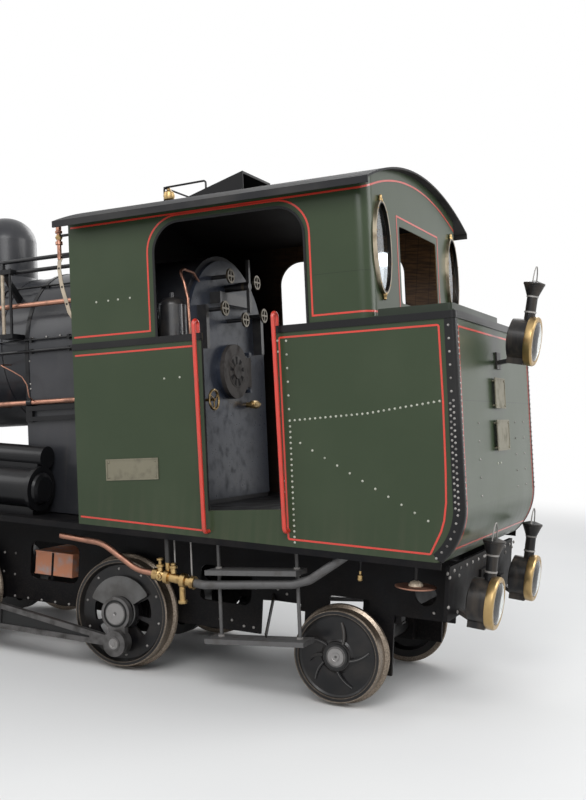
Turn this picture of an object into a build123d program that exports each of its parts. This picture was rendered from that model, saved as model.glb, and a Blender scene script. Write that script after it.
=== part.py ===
# Rack steam locomotive: two driven axles, one trailing axle, a rocking-lever drive, a raked boiler and cab.
# X runs ahead to the chimney end, Y to the driver's left, Z up from the wheel flanges, in millimetres.
from build123d import *
import math
import os

os.makedirs("parts", exist_ok=True)

# Rails and wheels
flange_depth = 28.0
flange_width = 18.0
driven_tread_radius = 397.5
trailing_tread_radius = 314.0
tyre_depth = 62.0
tyre_width = 125.0
wheel_back = 690.0              # inner face of a wheel from the centre line
wheel_web = 24.0
driven_base = 1600.0            # between the two driven axles
trailing_base = 1729.0          # from the rear driven axle back to the trailing axle
rear_driven_x = -371.0
axle_radius = 85.0
driven_hub_radius = 121.0
trailing_hub_radius = 104.0
running_clearance = 0.3         # between a journal or pin and its bore
front_driven_x = rear_driven_x + driven_base
trailing_x = rear_driven_x - trailing_base
driven_axle_z = driven_tread_radius + flange_depth
trailing_axle_z = trailing_tread_radius + flange_depth
wheel_face = wheel_back + tyre_width

# Rack pinions on the driven axles
pinion_teeth = 21
rack_pitch = 100.0
pinion_width = 110.0
tooth_addendum = 30.0
tooth_dedendum = 34.0
pinion_pitch_radius = pinion_teeth * rack_pitch / (2 * math.pi)

# Outside cranks and coupling rods
crank_throw = 210.0
crank_angle_left = 261.5        # degrees from ahead, turning up, with the locomotive at rest
crank_gap = 17.0                # between the wheel's face and the crank web
crank_web = 48.0
crank_pin_radius = 36.0
crank_pin_boss = 93.0
crank_waist = 140.0
hub_groove_outer = 100.0
hub_groove_inner = 85.0
hub_groove_depth = 6.0
pin_cap_radius = 50.0
pin_cap = 5.0
rod_side_gap = 6.0
rod_thickness = 44.0
rod_rear_head = 95.0
rod_front_head = 110.0
rod_below = 22.0                # depth of the rod's straight lower edge below its pins
rod_above_rear = 45.0
rod_apex_reach = 1150.0         # from the rear pin ahead to the apex boss
rod_apex_lift = 100.0
rod_apex_boss = 84.0
rod_flute_depth = 14.0
rod_flange = 40.0
main_rod_flange = 16.0
main_rod_flute_depth = 9.0
rod_web_margin = 30.0           # between a boss or head and the recessed web beside it
crank_inner = wheel_face + crank_gap
crank_outer = crank_inner + crank_web
rod_inner = crank_outer + rod_side_gap
rod_outer = rod_inner + rod_thickness

# Cylinders and rocking-lever drive
cylinder_y = 880.0
cylinder_z = 1290.0
cylinder_rear_x = 306.0
cylinder_length = 640.0
cylinder_radius = 150.0
cylinder_flange_radius = 171.0
cylinder_flange = 34.0
piston_rod_radius = 26.0
piston_rod_reach = 740.0        # from the crosshead pin back to the rod's end inside the cylinder
rocker_x = 2350.0
rocker_z = 930.0
rocker_shaft_radius = 45.0
rocker_hub_radius = 78.0
rocker_arm_width = 74.0
rocker_pin_radius = 28.0
rocker_eye_radius = 56.0
link_length = 900.0
link_thickness = 36.0
link_depth = 50.0
main_rod_gap = 12.0             # between a coupling rod and the main rod outside it
main_rod_thickness = 38.0
main_rod_depth = 78.0
open_pivot_gap = 6.0            # where a closed linkage is opened at its pin
crosshead_length = 210.0
crosshead_height = 150.0
crosshead_width = 86.0
slide_bar_height = 34.0
slide_bar_gap = 0.3
rocker_top_arm = cylinder_z - rocker_z
rocker_low_arm = rocker_z - driven_axle_z - rod_apex_lift
main_rod_inner = rod_outer + main_rod_gap
main_rod_outer = main_rod_inner + main_rod_thickness
rocker_low_inner = main_rod_outer + rod_side_gap
rocker_arm_thickness = 34.0
rocker_low_outer = rocker_low_inner + rocker_arm_thickness
link_outer = cylinder_y + link_thickness / 2
rocker_top_inner = link_outer + 12.0
rocker_top_outer = rocker_top_inner + rocker_arm_thickness

# Main frame
frame_plate = 24.0
frame_inner = 588.0
frame_top = 1040.0
frame_bottom = 369.0
frame_ends_bottom = 628.0
horn_width = 250.0
horn_height = 290.0
axlebox_inner = 500.0
axlebox_outer = 640.0
rear_beam_x = -2880.0
front_beam_x = 2880.0
beam_thickness = 26.0
rear_beam_half = 900.0
rear_beam_bottom = 689.0
front_beam_half = 1040.0
front_beam_bottom = 620.0
frame_outer = frame_inner + frame_plate

# Footplate
body_half = 1071.5              # half the width over the green sides
side_base_z = 1087.8            # lower edge of the sides, level with the rails
footplate = 12.0
edge_angle = 44.0
edge_leg = 12.0
footplate_inner = 566.0

# Raked cab, bunker and boiler: s runs back along the floor line, h square to it
rake = 5.71                     # degrees, one in ten
cab_front_x = -150.2
panel = 8.0
cab_length = 2333.0
bunker_back = 2873.0
bunker_corner = 25.0
door_front = 1079.0
door_back = 1625.0
sill_height = 80.0
belt_bottom = 1259.0
belt_top = 1306.0
belt_proud = 10.0
window_front = 718.0
window_back = 1877.0
window_top = 2102.0
window_radius = 205.0
cab_corner = 95.0
roof_half = 1213.0
roof_crown = 2430.0
roof_radius = 3248.0
roof_front = -40.0
roof_back = 2390.0
roof_sheet = 14.0
gutter_high = 36.0
gutter_thick = 12.0
gutter_drop = 30.0              # lower edge of the gutter below the underside of the roof sheet
floor_sheet = 12.0
oval_y = 850.0
oval_h = 1790.0
oval_half_width = 140.0
oval_half_height = 300.0
rim_width = 14.0
rim_proud = 25.0
rear_window_half = 445.0
rear_window_bottom = 1456.0
rear_window_top = 2000.0
front_window_y = 862.0
front_window_half = 108.0
front_window_h = 1790.0
front_window_high = 420.0
front_window_corner = 60.0
glass = 6.0
bunker_knee_h = 60.0            # where the bunker's back starts to curve in
bunker_toe_s = 2703.0           # where that curve meets the lower edge
tank_front = 1665.0
tank_top = 700.0
coaming_front = 2349.0
coaming_back = 2842.0
coaming_top = 1362.0
coaming_inset = 60.0
coaming_end_y = -180.0          # where the rear coaming stops, right of the centre line

# Boiler
boiler_axis_h = 1380.0
barrel_radius = 620.0
barrel_back = -730.0
barrel_front = -2150.0
smokebox_front = -2780.0
smokebox_radius = 634.0
firebox_half = 680.0
firebox_top = 2018.0
firebox_back = 700.0
casing_arc_h = firebox_top - firebox_half
firebox_base_z = 1096.0
band_width = 46.0
band_proud = 6.0
chimney_s = -2460.0
dome_s = -1420.0
dome_radius = 260.0
dome_cap = 50.0                 # flat seat on the dome's crown
smokebox_door_radius = 500.0
smokebox_door_depth = 95.0
fire_door_h = 1098.0
fire_door_radius = 215.0
fire_door_depth = 34.0

rake_sin = math.sin(math.radians(rake))
rake_cos = math.cos(math.radians(rake))
back_along = Vector(-rake_cos, 0, rake_sin)
square_up = Vector(rake_sin, 0, rake_cos)


def raked(s, h, y=0.0):
    """Row position of a point s back along the raked floor line and h square to it."""
    return Vector(cab_front_x, y, side_base_z) + back_along * s + square_up * h


def raked_side(y=0.0):
    """Plane of a raked side sheet: local x runs back, local y up, and it extrudes to the left."""
    return Plane(origin=raked(0, 0, y), x_dir=back_along, z_dir=(0, 1, 0))


def raked_cross(s):
    """Plane across the raked body: local x runs left, local y up, and it extrudes ahead."""
    return Plane(origin=raked(s, 0), x_dir=(0, 1, 0), z_dir=-back_along)


def raked_deck(h, s=0.0):
    """Plane of a raked floor: local x runs ahead, local y left, and it extrudes up."""
    return Plane(origin=raked(s, h), x_dir=-back_along, z_dir=square_up)


def level_side(y):
    """Plane of an upright plate along the rails: local x ahead, local y up, and it extrudes to the right."""
    return Plane.XZ.offset(-y)


def outward(x, y, z):
    """Plane facing away from the centre line: local x ahead, local y down on the left, up on the right."""
    return Plane(origin=(x, y, z), x_dir=(1, 0, 0), z_dir=(0, math.copysign(1, y), 0))


def crank_pin(axle_x, side):
    """Row x and z of a driven axle's crank pin; the right one leads the left by a quarter turn."""
    angle = math.radians(crank_angle_left if side > 0 else crank_angle_left - 90.0)
    return axle_x + crank_throw * math.cos(angle), driven_axle_z + crank_throw * math.sin(angle)


def rod_apex(side):
    """Row x and z of the coupling rod's apex boss."""
    x, z = crank_pin(rear_driven_x, side)
    return x + rod_apex_reach, z + rod_apex_lift


def level_base(s):
    """h of the sides' lower edge, which is level with the rails, at a station s."""
    return -s * math.tan(math.radians(rake))


main_rod_length = rocker_x - (rear_driven_x + rod_apex_reach)


def rocker_low_pin(side):
    """Row x and z of the rocker's lower pin, where the main rod's circle meets the lower arm's circle."""
    ax, az = rod_apex(side)
    dx = rocker_x - ax
    dz = rocker_z - az
    span = math.hypot(dx, dz)
    along = (main_rod_length ** 2 - rocker_low_arm ** 2 + span ** 2) / (2 * span)
    off = math.sqrt(main_rod_length ** 2 - along ** 2)
    return ax + (along * dx + off * dz) / span, az + (along * dz - off * dx) / span


def rocker_top_pin(side):
    """Row x and z of the rocker's upper pin, in line with the lower one through the shaft."""
    x, z = rocker_low_pin(side)
    ratio = rocker_top_arm / rocker_low_arm
    return rocker_x + (rocker_x - x) * ratio, rocker_z + (rocker_z - z) * ratio


def crosshead_pin_x(side):
    """Row x of the crosshead pin on the cylinder's axis."""
    x, z = rocker_top_pin(side)
    return x - math.sqrt(link_length ** 2 - (cylinder_z - z) ** 2)


def station(point):
    """s of a point, back along the raked floor line."""
    return (point - Vector(cab_front_x, 0, side_base_z)).dot(back_along)


def polar(radius, degrees):
    """Point of a plane at a radius and an angle."""
    turn = math.radians(degrees)
    return radius * math.cos(turn), radius * math.sin(turn)


def sector(inner, outer, middle, spread, corner):
    """Flat ring sector between two radii about a middle angle, with rounded corners."""
    start = middle - spread / 2
    end = middle + spread / 2
    with BuildSketch() as shape:
        with BuildLine():
            Line(polar(inner, start), polar(outer, start))
            ThreePointArc(polar(outer, start), polar(outer, middle), polar(outer, end))
            Line(polar(outer, end), polar(inner, end))
            ThreePointArc(polar(inner, end), polar(inner, middle), polar(inner, start))
        make_face()
        fillet(shape.vertices(), corner)
    return shape.sketch


def save(builder, label):
    """Label a finished piece and write its file."""
    builder.part.label = label
    export_step(builder.part, f"parts/{label}.step")


# Wheels
# axle table: name, station, axle height, tread radius, hub radius
axle_table = (
    ("driven_rear", rear_driven_x, driven_axle_z, driven_tread_radius, driven_hub_radius),
    ("driven_front", front_driven_x, driven_axle_z, driven_tread_radius, driven_hub_radius),
    ("trailing", trailing_x, trailing_axle_z, trailing_tread_radius, trailing_hub_radius),
)
rim_face = 32.0                 # radial width of a wheel's outer rim face
rim_fillet = 14.0
driven_dish = 36.0              # depth of a wheel's disc behind its outer face
trailing_dish = 18.0
rib_count = 5
rib_tip_radius = 195.0
rib_lean = 13.0                 # degrees that a rib's tip lies round from its foot
rib_width = 20.0
rib_rise = 24.0
weight_radius = 268.0
weight_sweep = 130.0
weight_step = 6.0               # the weight's face behind the wheel's face
hole_inner = 138.0
hole_outer = 246.0
# lightening holes of a driven wheel: degrees from the crank, degrees spanned
lightening_holes = ((94.0, 35.0), (-94.0, 35.0), (54.0, 25.0), (-54.0, 25.0))
for name, axle_x, axle_z, tread, hub in axle_table:
    driven = name != "trailing"
    web_out = wheel_face - (driven_dish if driven else trailing_dish)
    web_in = web_out - wheel_web
    rim_inner = tread - rim_face
    tyre_inner = tread - tyre_depth
    section = (
        (wheel_back, tread + flange_depth - 8),
        (wheel_back + 6, tread + flange_depth),
        (wheel_back + flange_width, tread + flange_depth - 6),
        (wheel_back + flange_width + 12, tread),
        (wheel_face - 6, tread),
        (wheel_face, tread - 6),
        (wheel_face, rim_inner),
        (wheel_face - rim_fillet * 0.8, rim_inner - rim_fillet * 0.4),
        (web_out, rim_inner - rim_fillet * 1.4),
        (web_out, hub + rim_fillet),
        (wheel_face - 8, hub),
        (wheel_face, hub - 6),
        (wheel_face, axle_radius),
        (wheel_back, axle_radius),
        (wheel_back, hub),
        (web_in, hub + rim_fillet),
        (web_in, tyre_inner - rim_fillet),
        (wheel_back, tyre_inner),
    )
    with BuildPart() as wheels:
        for side in (1, -1):
            hub_plane = Plane(origin=(axle_x, 0, axle_z), x_dir=(0, 1, 0), z_dir=(1, 0, 0))
            with BuildSketch(hub_plane):
                with BuildLine():
                    Polyline([(side * y, r) for y, r in section], close=True)
                make_face()
            revolve(axis=Axis((axle_x, 0, axle_z), (0, 1, 0)))
            face_plane = outward(axle_x, side * web_out, axle_z)
            if driven:
                pin_x, pin_z = crank_pin(axle_x, side)
                crank_turn = math.degrees(math.atan2((pin_z - axle_z) * -side, pin_x - axle_x))
                with BuildSketch(face_plane):
                    add(sector(hub - 4, weight_radius, crank_turn + 180, weight_sweep, rim_fillet))
                extrude(amount=wheel_face - web_out - weight_step)
                with BuildSketch(face_plane):
                    for turn, spread in lightening_holes:
                        add(sector(hole_inner, hole_outer, crank_turn + turn, spread, rim_fillet))
                extrude(amount=-wheel_web, mode=Mode.SUBTRACT)
            else:
                rib_foot = hub - 4
                rib_middle = (hub + rib_tip_radius) / 2
                edges = []
                for hand in (-1, 1):
                    edge = []
                    for radius, share in ((rib_foot, 0.0), (rib_middle, 0.2), (rib_tip_radius, 1.0)):
                        half_turn = math.degrees(rib_width / 2 / radius)
                        edge.append(polar(radius, share * rib_lean + hand * half_turn))
                    edges.append(edge)
                near, far = edges
                with BuildSketch(face_plane):
                    with PolarLocations(0, rib_count):
                        with BuildLine():
                            ThreePointArc(near[0], near[1], near[2])
                            Line(near[2], far[2])
                            ThreePointArc(far[2], far[1], far[0])
                            Line(far[0], near[0])
                        make_face()
                extrude(amount=rib_rise)
    save(wheels, f"wheels_{name}")

# Axles, the driven ones with their rack pinions and outside cranks
for name, axle_x, axle_z, tread, hub in axle_table:
    driven = name != "trailing"
    half_length = crank_inner if driven else wheel_face + 10
    with BuildPart() as axle:
        with BuildSketch(Plane(origin=(axle_x, half_length, axle_z), x_dir=(1, 0, 0), z_dir=(0, -1, 0))):
            Circle(axle_radius)
        extrude(amount=2 * half_length)
        if driven:
            root_radius = pinion_pitch_radius - tooth_dedendum
            tip_radius = pinion_pitch_radius + tooth_addendum
            tooth_root = rack_pitch * 0.62
            tooth_tip = rack_pitch * 0.3
            pinion_face = (axle_x, pinion_width / 2, axle_z)
            with BuildSketch(Plane(origin=pinion_face, x_dir=(1, 0, 0), z_dir=(0, -1, 0))):
                Circle(root_radius)
                with PolarLocations(0, pinion_teeth):
                    with BuildLine():
                        Polyline(
                            (root_radius - 8, -tooth_root / 2),
                            (tip_radius, -tooth_tip / 2),
                            (tip_radius, tooth_tip / 2),
                            (root_radius - 8, tooth_root / 2),
                            close=True,
                        )
                    make_face()
                with PolarLocations(root_radius * 0.62, 6):
                    Circle(root_radius * 0.17, mode=Mode.SUBTRACT)
            extrude(amount=pinion_width)
            for side in (1, -1):
                pin_x, pin_z = crank_pin(axle_x, side)
                across = (pin_x - axle_x, (pin_z - axle_z) * -side)
                with BuildSketch(outward(axle_x, side * crank_inner, axle_z)):
                    Circle(driven_hub_radius)
                    with Locations(across):
                        Circle(crank_pin_boss)
                    with Locations((across[0] / 2, across[1] / 2)):
                        Rectangle(crank_throw, crank_waist,
                                  rotation=math.degrees(math.atan2(across[1], across[0])))
                extrude(amount=crank_web)
                with BuildSketch(outward(axle_x, side * crank_outer, axle_z)):
                    Circle(hub_groove_outer)
                    Circle(hub_groove_inner, mode=Mode.SUBTRACT)
                extrude(amount=-hub_groove_depth, mode=Mode.SUBTRACT)
                with BuildSketch(outward(pin_x, side * crank_outer, pin_z)):
                    Circle(crank_pin_radius)
                extrude(amount=rod_side_gap + rod_thickness + running_clearance)
                with BuildSketch(outward(pin_x, side * (rod_outer + running_clearance), pin_z)):
                    Circle(pin_cap_radius)
                extrude(amount=pin_cap)
    save(axle, f"axle_{name}")

# Coupling rods: straight below, rising to an apex boss, with fluted sides
for side, hand in ((1, "left"), (-1, "right")):
    rear = crank_pin(rear_driven_x, side)
    rod_plane = outward(rear[0], side * rod_inner, rear[1])
    up = -side
    crest_x = rod_apex_reach - rod_apex_boss * 0.3
    crest_z = rod_apex_lift + rod_apex_boss * 0.95
    brow_x = rod_apex_reach + rod_apex_boss * 0.6
    brow_z = rod_apex_lift + rod_apex_boss * 0.72
    nose_z = rod_front_head * 0.5
    rear_slope = (crest_z - rod_above_rear) / crest_x
    front_slope = (brow_z - nose_z) / (driven_base - brow_x)
    outline = (
        (0.0, -rod_below),
        (driven_base, -rod_below),
        (driven_base, nose_z),
        (brow_x, brow_z),
        (crest_x, crest_z),
        (0.0, rod_above_rear),
    )
    # recessed webs behind and ahead of the apex boss, inside flanges that follow the rod's edges
    web_start = rod_rear_head + rod_web_margin * 4
    web_end = rod_apex_reach - rod_apex_boss - rod_web_margin
    front_start = rod_apex_reach + rod_apex_boss + rod_web_margin
    front_end = driven_base - rod_front_head - rod_web_margin
    web_low = -rod_below + rod_flange
    webs = (
        (
            (web_start, web_low),
            (web_end, web_low),
            (web_end, rod_above_rear + rear_slope * web_end - rod_flange),
            (web_start, rod_above_rear + rear_slope * web_start - rod_flange),
        ),
        (
            (front_start, web_low),
            (front_end, web_low),
            (front_end, nose_z + front_slope * (driven_base - front_end) - rod_flange),
            (front_start, nose_z + front_slope * (driven_base - front_start) - rod_flange),
        ),
    )
    with BuildPart() as coupling_rod:
        with BuildSketch(rod_plane):
            with BuildLine():
                Polyline([(x, up * z) for x, z in outline], close=True)
            make_face()
            Circle(rod_rear_head)
            with Locations((driven_base, 0)):
                Circle(rod_front_head)
            with Locations((rod_apex_reach, up * rod_apex_lift)):
                Circle(rod_apex_boss)
            with Locations((0, 0), (driven_base, 0)):
                Circle(crank_pin_radius + running_clearance, mode=Mode.SUBTRACT)
        extrude(amount=rod_thickness)
        for web in webs:
            for face, cut in ((rod_inner, rod_flute_depth), (rod_outer, -rod_flute_depth)):
                with BuildSketch(outward(rear[0], side * face, rear[1])):
                    with BuildLine():
                        Polyline([(x, up * z) for x, z in web], close=True)
                    make_face()
                extrude(amount=cut, mode=Mode.SUBTRACT)
    save(coupling_rod, f"coupling_rod_{hand}")

# Main rods, from the rocker's lower pin back to the coupling rod's apex
for side, hand in ((1, "left"), (-1, "right")):
    apex = rod_apex(side)
    low = rocker_low_pin(side)
    reach = Vector(apex[0] - low[0], 0, apex[1] - low[1])
    rod_start = (low[0], side * main_rod_inner, low[1])
    rod_plane = Plane(origin=rod_start, x_dir=reach.normalized(), z_dir=(0, side, 0))
    with BuildPart() as main_rod:
        with BuildSketch(rod_plane):
            with Locations((reach.length / 2, 0)):
                Rectangle(reach.length, main_rod_depth)
            Circle(rocker_eye_radius + 6)
            with Locations((reach.length, 0)):
                Circle(rod_apex_boss - 6)
            Circle(rocker_pin_radius + running_clearance, mode=Mode.SUBTRACT)
        extrude(amount=main_rod_thickness)
        with BuildSketch(rod_plane.offset(main_rod_thickness)):
            with Locations((reach.length / 2, 0)):
                Rectangle(reach.length - 360, main_rod_depth - 2 * main_rod_flange)
        extrude(amount=-main_rod_flute_depth, mode=Mode.SUBTRACT)
    save(main_rod, f"main_rod_{hand}")

# Rockers: a hub on its shaft, an upper arm inside and a lower arm outside
for side, hand in ((1, "left"), (-1, "right")):
    low = rocker_low_pin(side)
    top = rocker_top_pin(side)
    with BuildPart() as rocker:
        with BuildSketch(outward(rocker_x, side * rocker_top_inner, rocker_z)):
            Circle(rocker_hub_radius)
        extrude(amount=rocker_low_outer - rocker_top_inner)
        # arms table: inner face, thickness, pin, pin's inner end
        arms = (
            (rocker_top_inner, rocker_arm_thickness, top, link_outer + open_pivot_gap),
            (rocker_low_inner, rocker_arm_thickness, low, main_rod_inner - 4),
        )
        for face, thick, pin, pin_end in arms:
            with BuildSketch(outward(rocker_x, side * face, rocker_z)):
                Circle(rocker_arm_width * 0.78)
                with Locations((pin[0] - rocker_x, (pin[1] - rocker_z) * -side)):
                    Circle(rocker_eye_radius - 4)
                make_hull()
            extrude(amount=thick)
            with BuildSketch(outward(pin[0], side * pin_end, pin[1])):
                Circle(rocker_pin_radius)
            extrude(amount=face - pin_end)
        with BuildSketch(outward(rocker_x, side * rocker_top_inner, rocker_z)):
            Circle(rocker_shaft_radius + running_clearance)
        extrude(amount=rocker_low_outer - rocker_top_inner, mode=Mode.SUBTRACT)
    save(rocker, f"rocker_{hand}")

# Crossheads with their piston rods and the links ahead of them, which keep the crosshead's pose
for side, hand in ((1, "left"), (-1, "right")):
    pin_x = crosshead_pin_x(side)
    top = rocker_top_pin(side)
    slot = link_thickness + 4
    with BuildPart() as crosshead:
        with Locations((pin_x, side * cylinder_y, cylinder_z)):
            Box(crosshead_length, crosshead_width, crosshead_height)
            with Locations((40, 0, 0)):
                Box(crosshead_length, slot, crosshead_height, mode=Mode.SUBTRACT)
        with BuildSketch(Plane(origin=(pin_x - crosshead_length / 2, side * cylinder_y, cylinder_z),
                               x_dir=(0, 1, 0), z_dir=(-1, 0, 0))):
            Circle(piston_rod_radius)
        extrude(amount=piston_rod_reach - crosshead_length / 2)
        with BuildSketch(Plane(origin=(pin_x, side * cylinder_y - crosshead_width / 2, cylinder_z),
                               x_dir=(1, 0, 0), z_dir=(0, 1, 0))):
            Circle(rocker_pin_radius)
        extrude(amount=crosshead_width)
        reach = Vector(top[0] - pin_x, 0, top[1] - cylinder_z)
        with BuildSketch(Plane(origin=(pin_x, side * cylinder_y - link_thickness / 2, cylinder_z),
                               x_dir=reach.normalized(), z_dir=(0, 1, 0))):
            with Locations((reach.length / 2, 0)):
                Rectangle(reach.length, link_depth)
            Circle(rocker_eye_radius - 4)
            with Locations((reach.length, 0)):
                Circle(rocker_eye_radius)
        extrude(amount=link_thickness)
    save(crosshead, f"crosshead_{hand}")

# Cylinders, each with its covers, valve chest and foot
chest_radius = 88.0
chest_offset_z = 232.0
cover_back = 34.0
cylinder_profile = (
    (0, 0), (0, 92), (16, 118), (cover_back, 126), (cover_back, cylinder_flange_radius),
    (cover_back + cylinder_flange, cylinder_flange_radius), (cover_back + cylinder_flange, cylinder_radius),
    (cylinder_length - 40 - cylinder_flange, cylinder_radius),
    (cylinder_length - 40 - cylinder_flange, cylinder_flange_radius),
    (cylinder_length - 40, cylinder_flange_radius), (cylinder_length - 40, 68), (cylinder_length, 54),
    (cylinder_length, 0),
)
cylinder_axis = (cylinder_rear_x, cylinder_y, cylinder_z)
cylinder_middle_x = cylinder_rear_x + cylinder_length / 2
bar_front = 1830.0
bar_foot = 40.0                 # length of a slide bar that lies over the front cover's boss
yoke_thick = 44.0
yoke_width = 70.0
yoke_offset = 90.0
yoke_height = cylinder_z + 125.0 - side_base_z
with BuildPart() as cylinders:
    with BuildSketch(Plane(origin=cylinder_axis, x_dir=(1, 0, 0), z_dir=(0, -1, 0))):
        with BuildLine():
            Polyline(cylinder_profile, close=True)
        make_face()
    revolve(axis=Axis(cylinder_axis, (1, 0, 0)))
    chest_origin = (cylinder_rear_x + 60, cylinder_y - 90, cylinder_z + chest_offset_z)
    with BuildSketch(Plane(origin=chest_origin, x_dir=(0, 1, 0), z_dir=(1, 0, 0))):
        Circle(chest_radius)
    extrude(amount=cylinder_length - 130)
    with Locations((cylinder_middle_x, cylinder_y - 60, (side_base_z + cylinder_z) / 2)):
        Box(cylinder_length - 150, 200, cylinder_z - side_base_z)
    with Locations((cylinder_middle_x, cylinder_y - 75, cylinder_z + chest_offset_z / 2)):
        Box(cylinder_length - 190, 120, chest_offset_z)
    bore_origin = (cylinder_rear_x + cylinder_length, cylinder_y, cylinder_z)
    with BuildSketch(Plane(origin=bore_origin, x_dir=(0, 1, 0), z_dir=(-1, 0, 0))):
        Circle(piston_rod_radius + running_clearance)
    extrude(amount=cylinder_length - 60, mode=Mode.SUBTRACT)
    # slide bars above and below the crosshead, and the yoke on the footplate that holds their front ends
    bar_long = bar_front - cylinder_rear_x - cylinder_length + bar_foot
    for up in (1, -1):
        bar_z = cylinder_z + up * (crosshead_height / 2 + slide_bar_gap + slide_bar_height / 2)
        with Locations((bar_front - bar_long / 2, cylinder_y, bar_z)):
            Box(bar_long, crosshead_width, slide_bar_height)
        with Locations((bar_front - yoke_thick / 2, cylinder_y - 30, bar_z)):
            Box(yoke_thick, 60, slide_bar_height)
    with Locations((bar_front - yoke_thick / 2, cylinder_y - yoke_offset, side_base_z + yoke_height / 2)):
        Box(yoke_thick, yoke_width, yoke_height)
    mirror(about=Plane.XZ)
save(cylinders, "cylinders_and_slide_bars")

# Main frame: two plates with horn openings, joined by cross stays, with the rockers' fixed shafts
shaft_pad = 24.0
horn_foot = 215.0               # lower edge of the plates at the trailing axle
horn_block = 330.0              # half the length of the plates' deep part there
driven_foot = 259.0             # lower edge of the plates at the driven axles
frame_waist = 638.0             # lower edge between the trailing axle and the deep middle part
deep_back_x = -1430.0
frame_outline = (
    (rear_beam_x + beam_thickness, frame_ends_bottom),
    (trailing_x - horn_block, frame_ends_bottom),
    (trailing_x - horn_block, horn_foot),
    (trailing_x + horn_block, horn_foot),
    (trailing_x + horn_block, frame_waist),
    (deep_back_x, frame_waist - 24),
    (deep_back_x, frame_bottom),
    (rear_driven_x - 300, frame_bottom),
    (rear_driven_x - 220, driven_foot),
    (rear_driven_x + 220, driven_foot),
    (rear_driven_x + 300, frame_bottom),
    (front_driven_x - 300, frame_bottom),
    (front_driven_x - 220, driven_foot),
    (front_driven_x + 220, driven_foot),
    (front_driven_x + 300, frame_bottom),
    (front_driven_x + 620, frame_ends_bottom - 48),
    (front_beam_x - beam_thickness, frame_ends_bottom - 48),
    (front_beam_x - beam_thickness, frame_top),
    (rear_beam_x + beam_thickness, frame_top),
)
# lightening holes: centre station, centre height, length, height, corner radius
frame_holes = (
    (384.0, 694.0, 457.0, 300.0, 60.0),
    (-1130.0, 690.0, 430.0, 260.0, 60.0),
    (2080.0, 800.0, 260.0, 200.0, 60.0),
    (-2644.0, 794.0, 150.0, 150.0, 74.0),
    (trailing_x, 584.0, 300.0, 254.0, 20.0),
)
# cross stays: station, lower edge, upper edge
stays = (
    (-2560.0, 700.0, 1000.0),
    (-1600.0, 700.0, 980.0),
    (420.0, 430.0, 760.0),
    (1900.0, 660.0, 1000.0),
    (2620.0, 660.0, 1000.0),
)
with BuildPart() as main_frame:
    for side in (1, -1):
        plane = level_side(frame_outer if side > 0 else -frame_inner)
        with BuildSketch(plane):
            with BuildLine():
                Polyline(frame_outline, close=True)
            make_face()
            for name, axle_x, axle_z, tread, hub in axle_table:
                with Locations((axle_x, axle_z)):
                    Rectangle(horn_width, horn_height - 60, mode=Mode.SUBTRACT)
            for hole_x, hole_z, hole_long, hole_high, hole_corner in frame_holes:
                with Locations((hole_x, hole_z)):
                    RectangleRounded(hole_long, hole_high, hole_corner, mode=Mode.SUBTRACT)
        extrude(amount=frame_plate)
    for stay_x, stay_low, stay_high in stays:
        with Locations((stay_x, 0, (stay_low + stay_high) / 2)):
            Box(20, 2 * frame_inner, stay_high - stay_low)
    for side in (1, -1):
        with Locations((rocker_x, side * (frame_outer + shaft_pad / 2), rocker_z)):
            Box(260, shaft_pad, 190)
        with BuildSketch(outward(rocker_x, side * frame_outer, rocker_z)):
            Circle(rocker_hub_radius)
        extrude(amount=rocker_top_inner - rod_side_gap - frame_outer)
        with BuildSketch(outward(rocker_x, side * frame_outer, rocker_z)):
            Circle(rocker_shaft_radius)
        extrude(amount=rocker_low_outer + shaft_pad - frame_outer)
        with BuildSketch(outward(rocker_x, side * (rocker_low_outer + rod_side_gap), rocker_z)):
            Circle(rocker_hub_radius - 6)
        extrude(amount=shaft_pad)
save(main_frame, "main_frame")

# Axleboxes in the horn openings, with the leaf springs that stand on them inside the frame plates
box_height = horn_height - 60
leaf_count = 6
leaf_thick = 14.0
leaf_width = 76.0
leaf_half = 380.0
buckle_high = 40.0
with BuildPart() as axleboxes:
    for name, axle_x, axle_z, tread, hub in axle_table:
        base_z = axle_z + box_height / 2
        for side in (1, -1):
            with Locations((axle_x, side * (axlebox_inner + axlebox_outer) / 2, axle_z)):
                Box(horn_width, axlebox_outer - axlebox_inner, box_height)
            centre_y = side * (axlebox_inner + leaf_width / 2 + 8)
            with Locations((axle_x, centre_y, base_z + buckle_high / 2)):
                Box(90, leaf_width, buckle_high)
            for leaf in range(leaf_count):
                length = leaf_half * (leaf + 1.5) / (leaf_count + 0.5)
                with Locations((axle_x, centre_y, base_z + buckle_high + leaf_thick * (leaf + 0.5))):
                    Box(2 * length, leaf_width, leaf_thick)
            top_z = base_z + buckle_high + leaf_thick * leaf_count
            hanger_mid_y = side * (axlebox_inner + frame_inner) / 2
            for end in (1, -1):
                with Locations((axle_x + end * (leaf_half - 26), hanger_mid_y, top_z + 30)):
                    Box(40, frame_inner - axlebox_inner, 60)
        with BuildSketch(Plane(origin=(axle_x, axlebox_outer, axle_z), x_dir=(1, 0, 0), z_dir=(0, -1, 0))):
            Circle(axle_radius + running_clearance)
        extrude(amount=2 * axlebox_outer, mode=Mode.SUBTRACT)
save(axleboxes, "axleboxes_and_springs")

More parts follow.
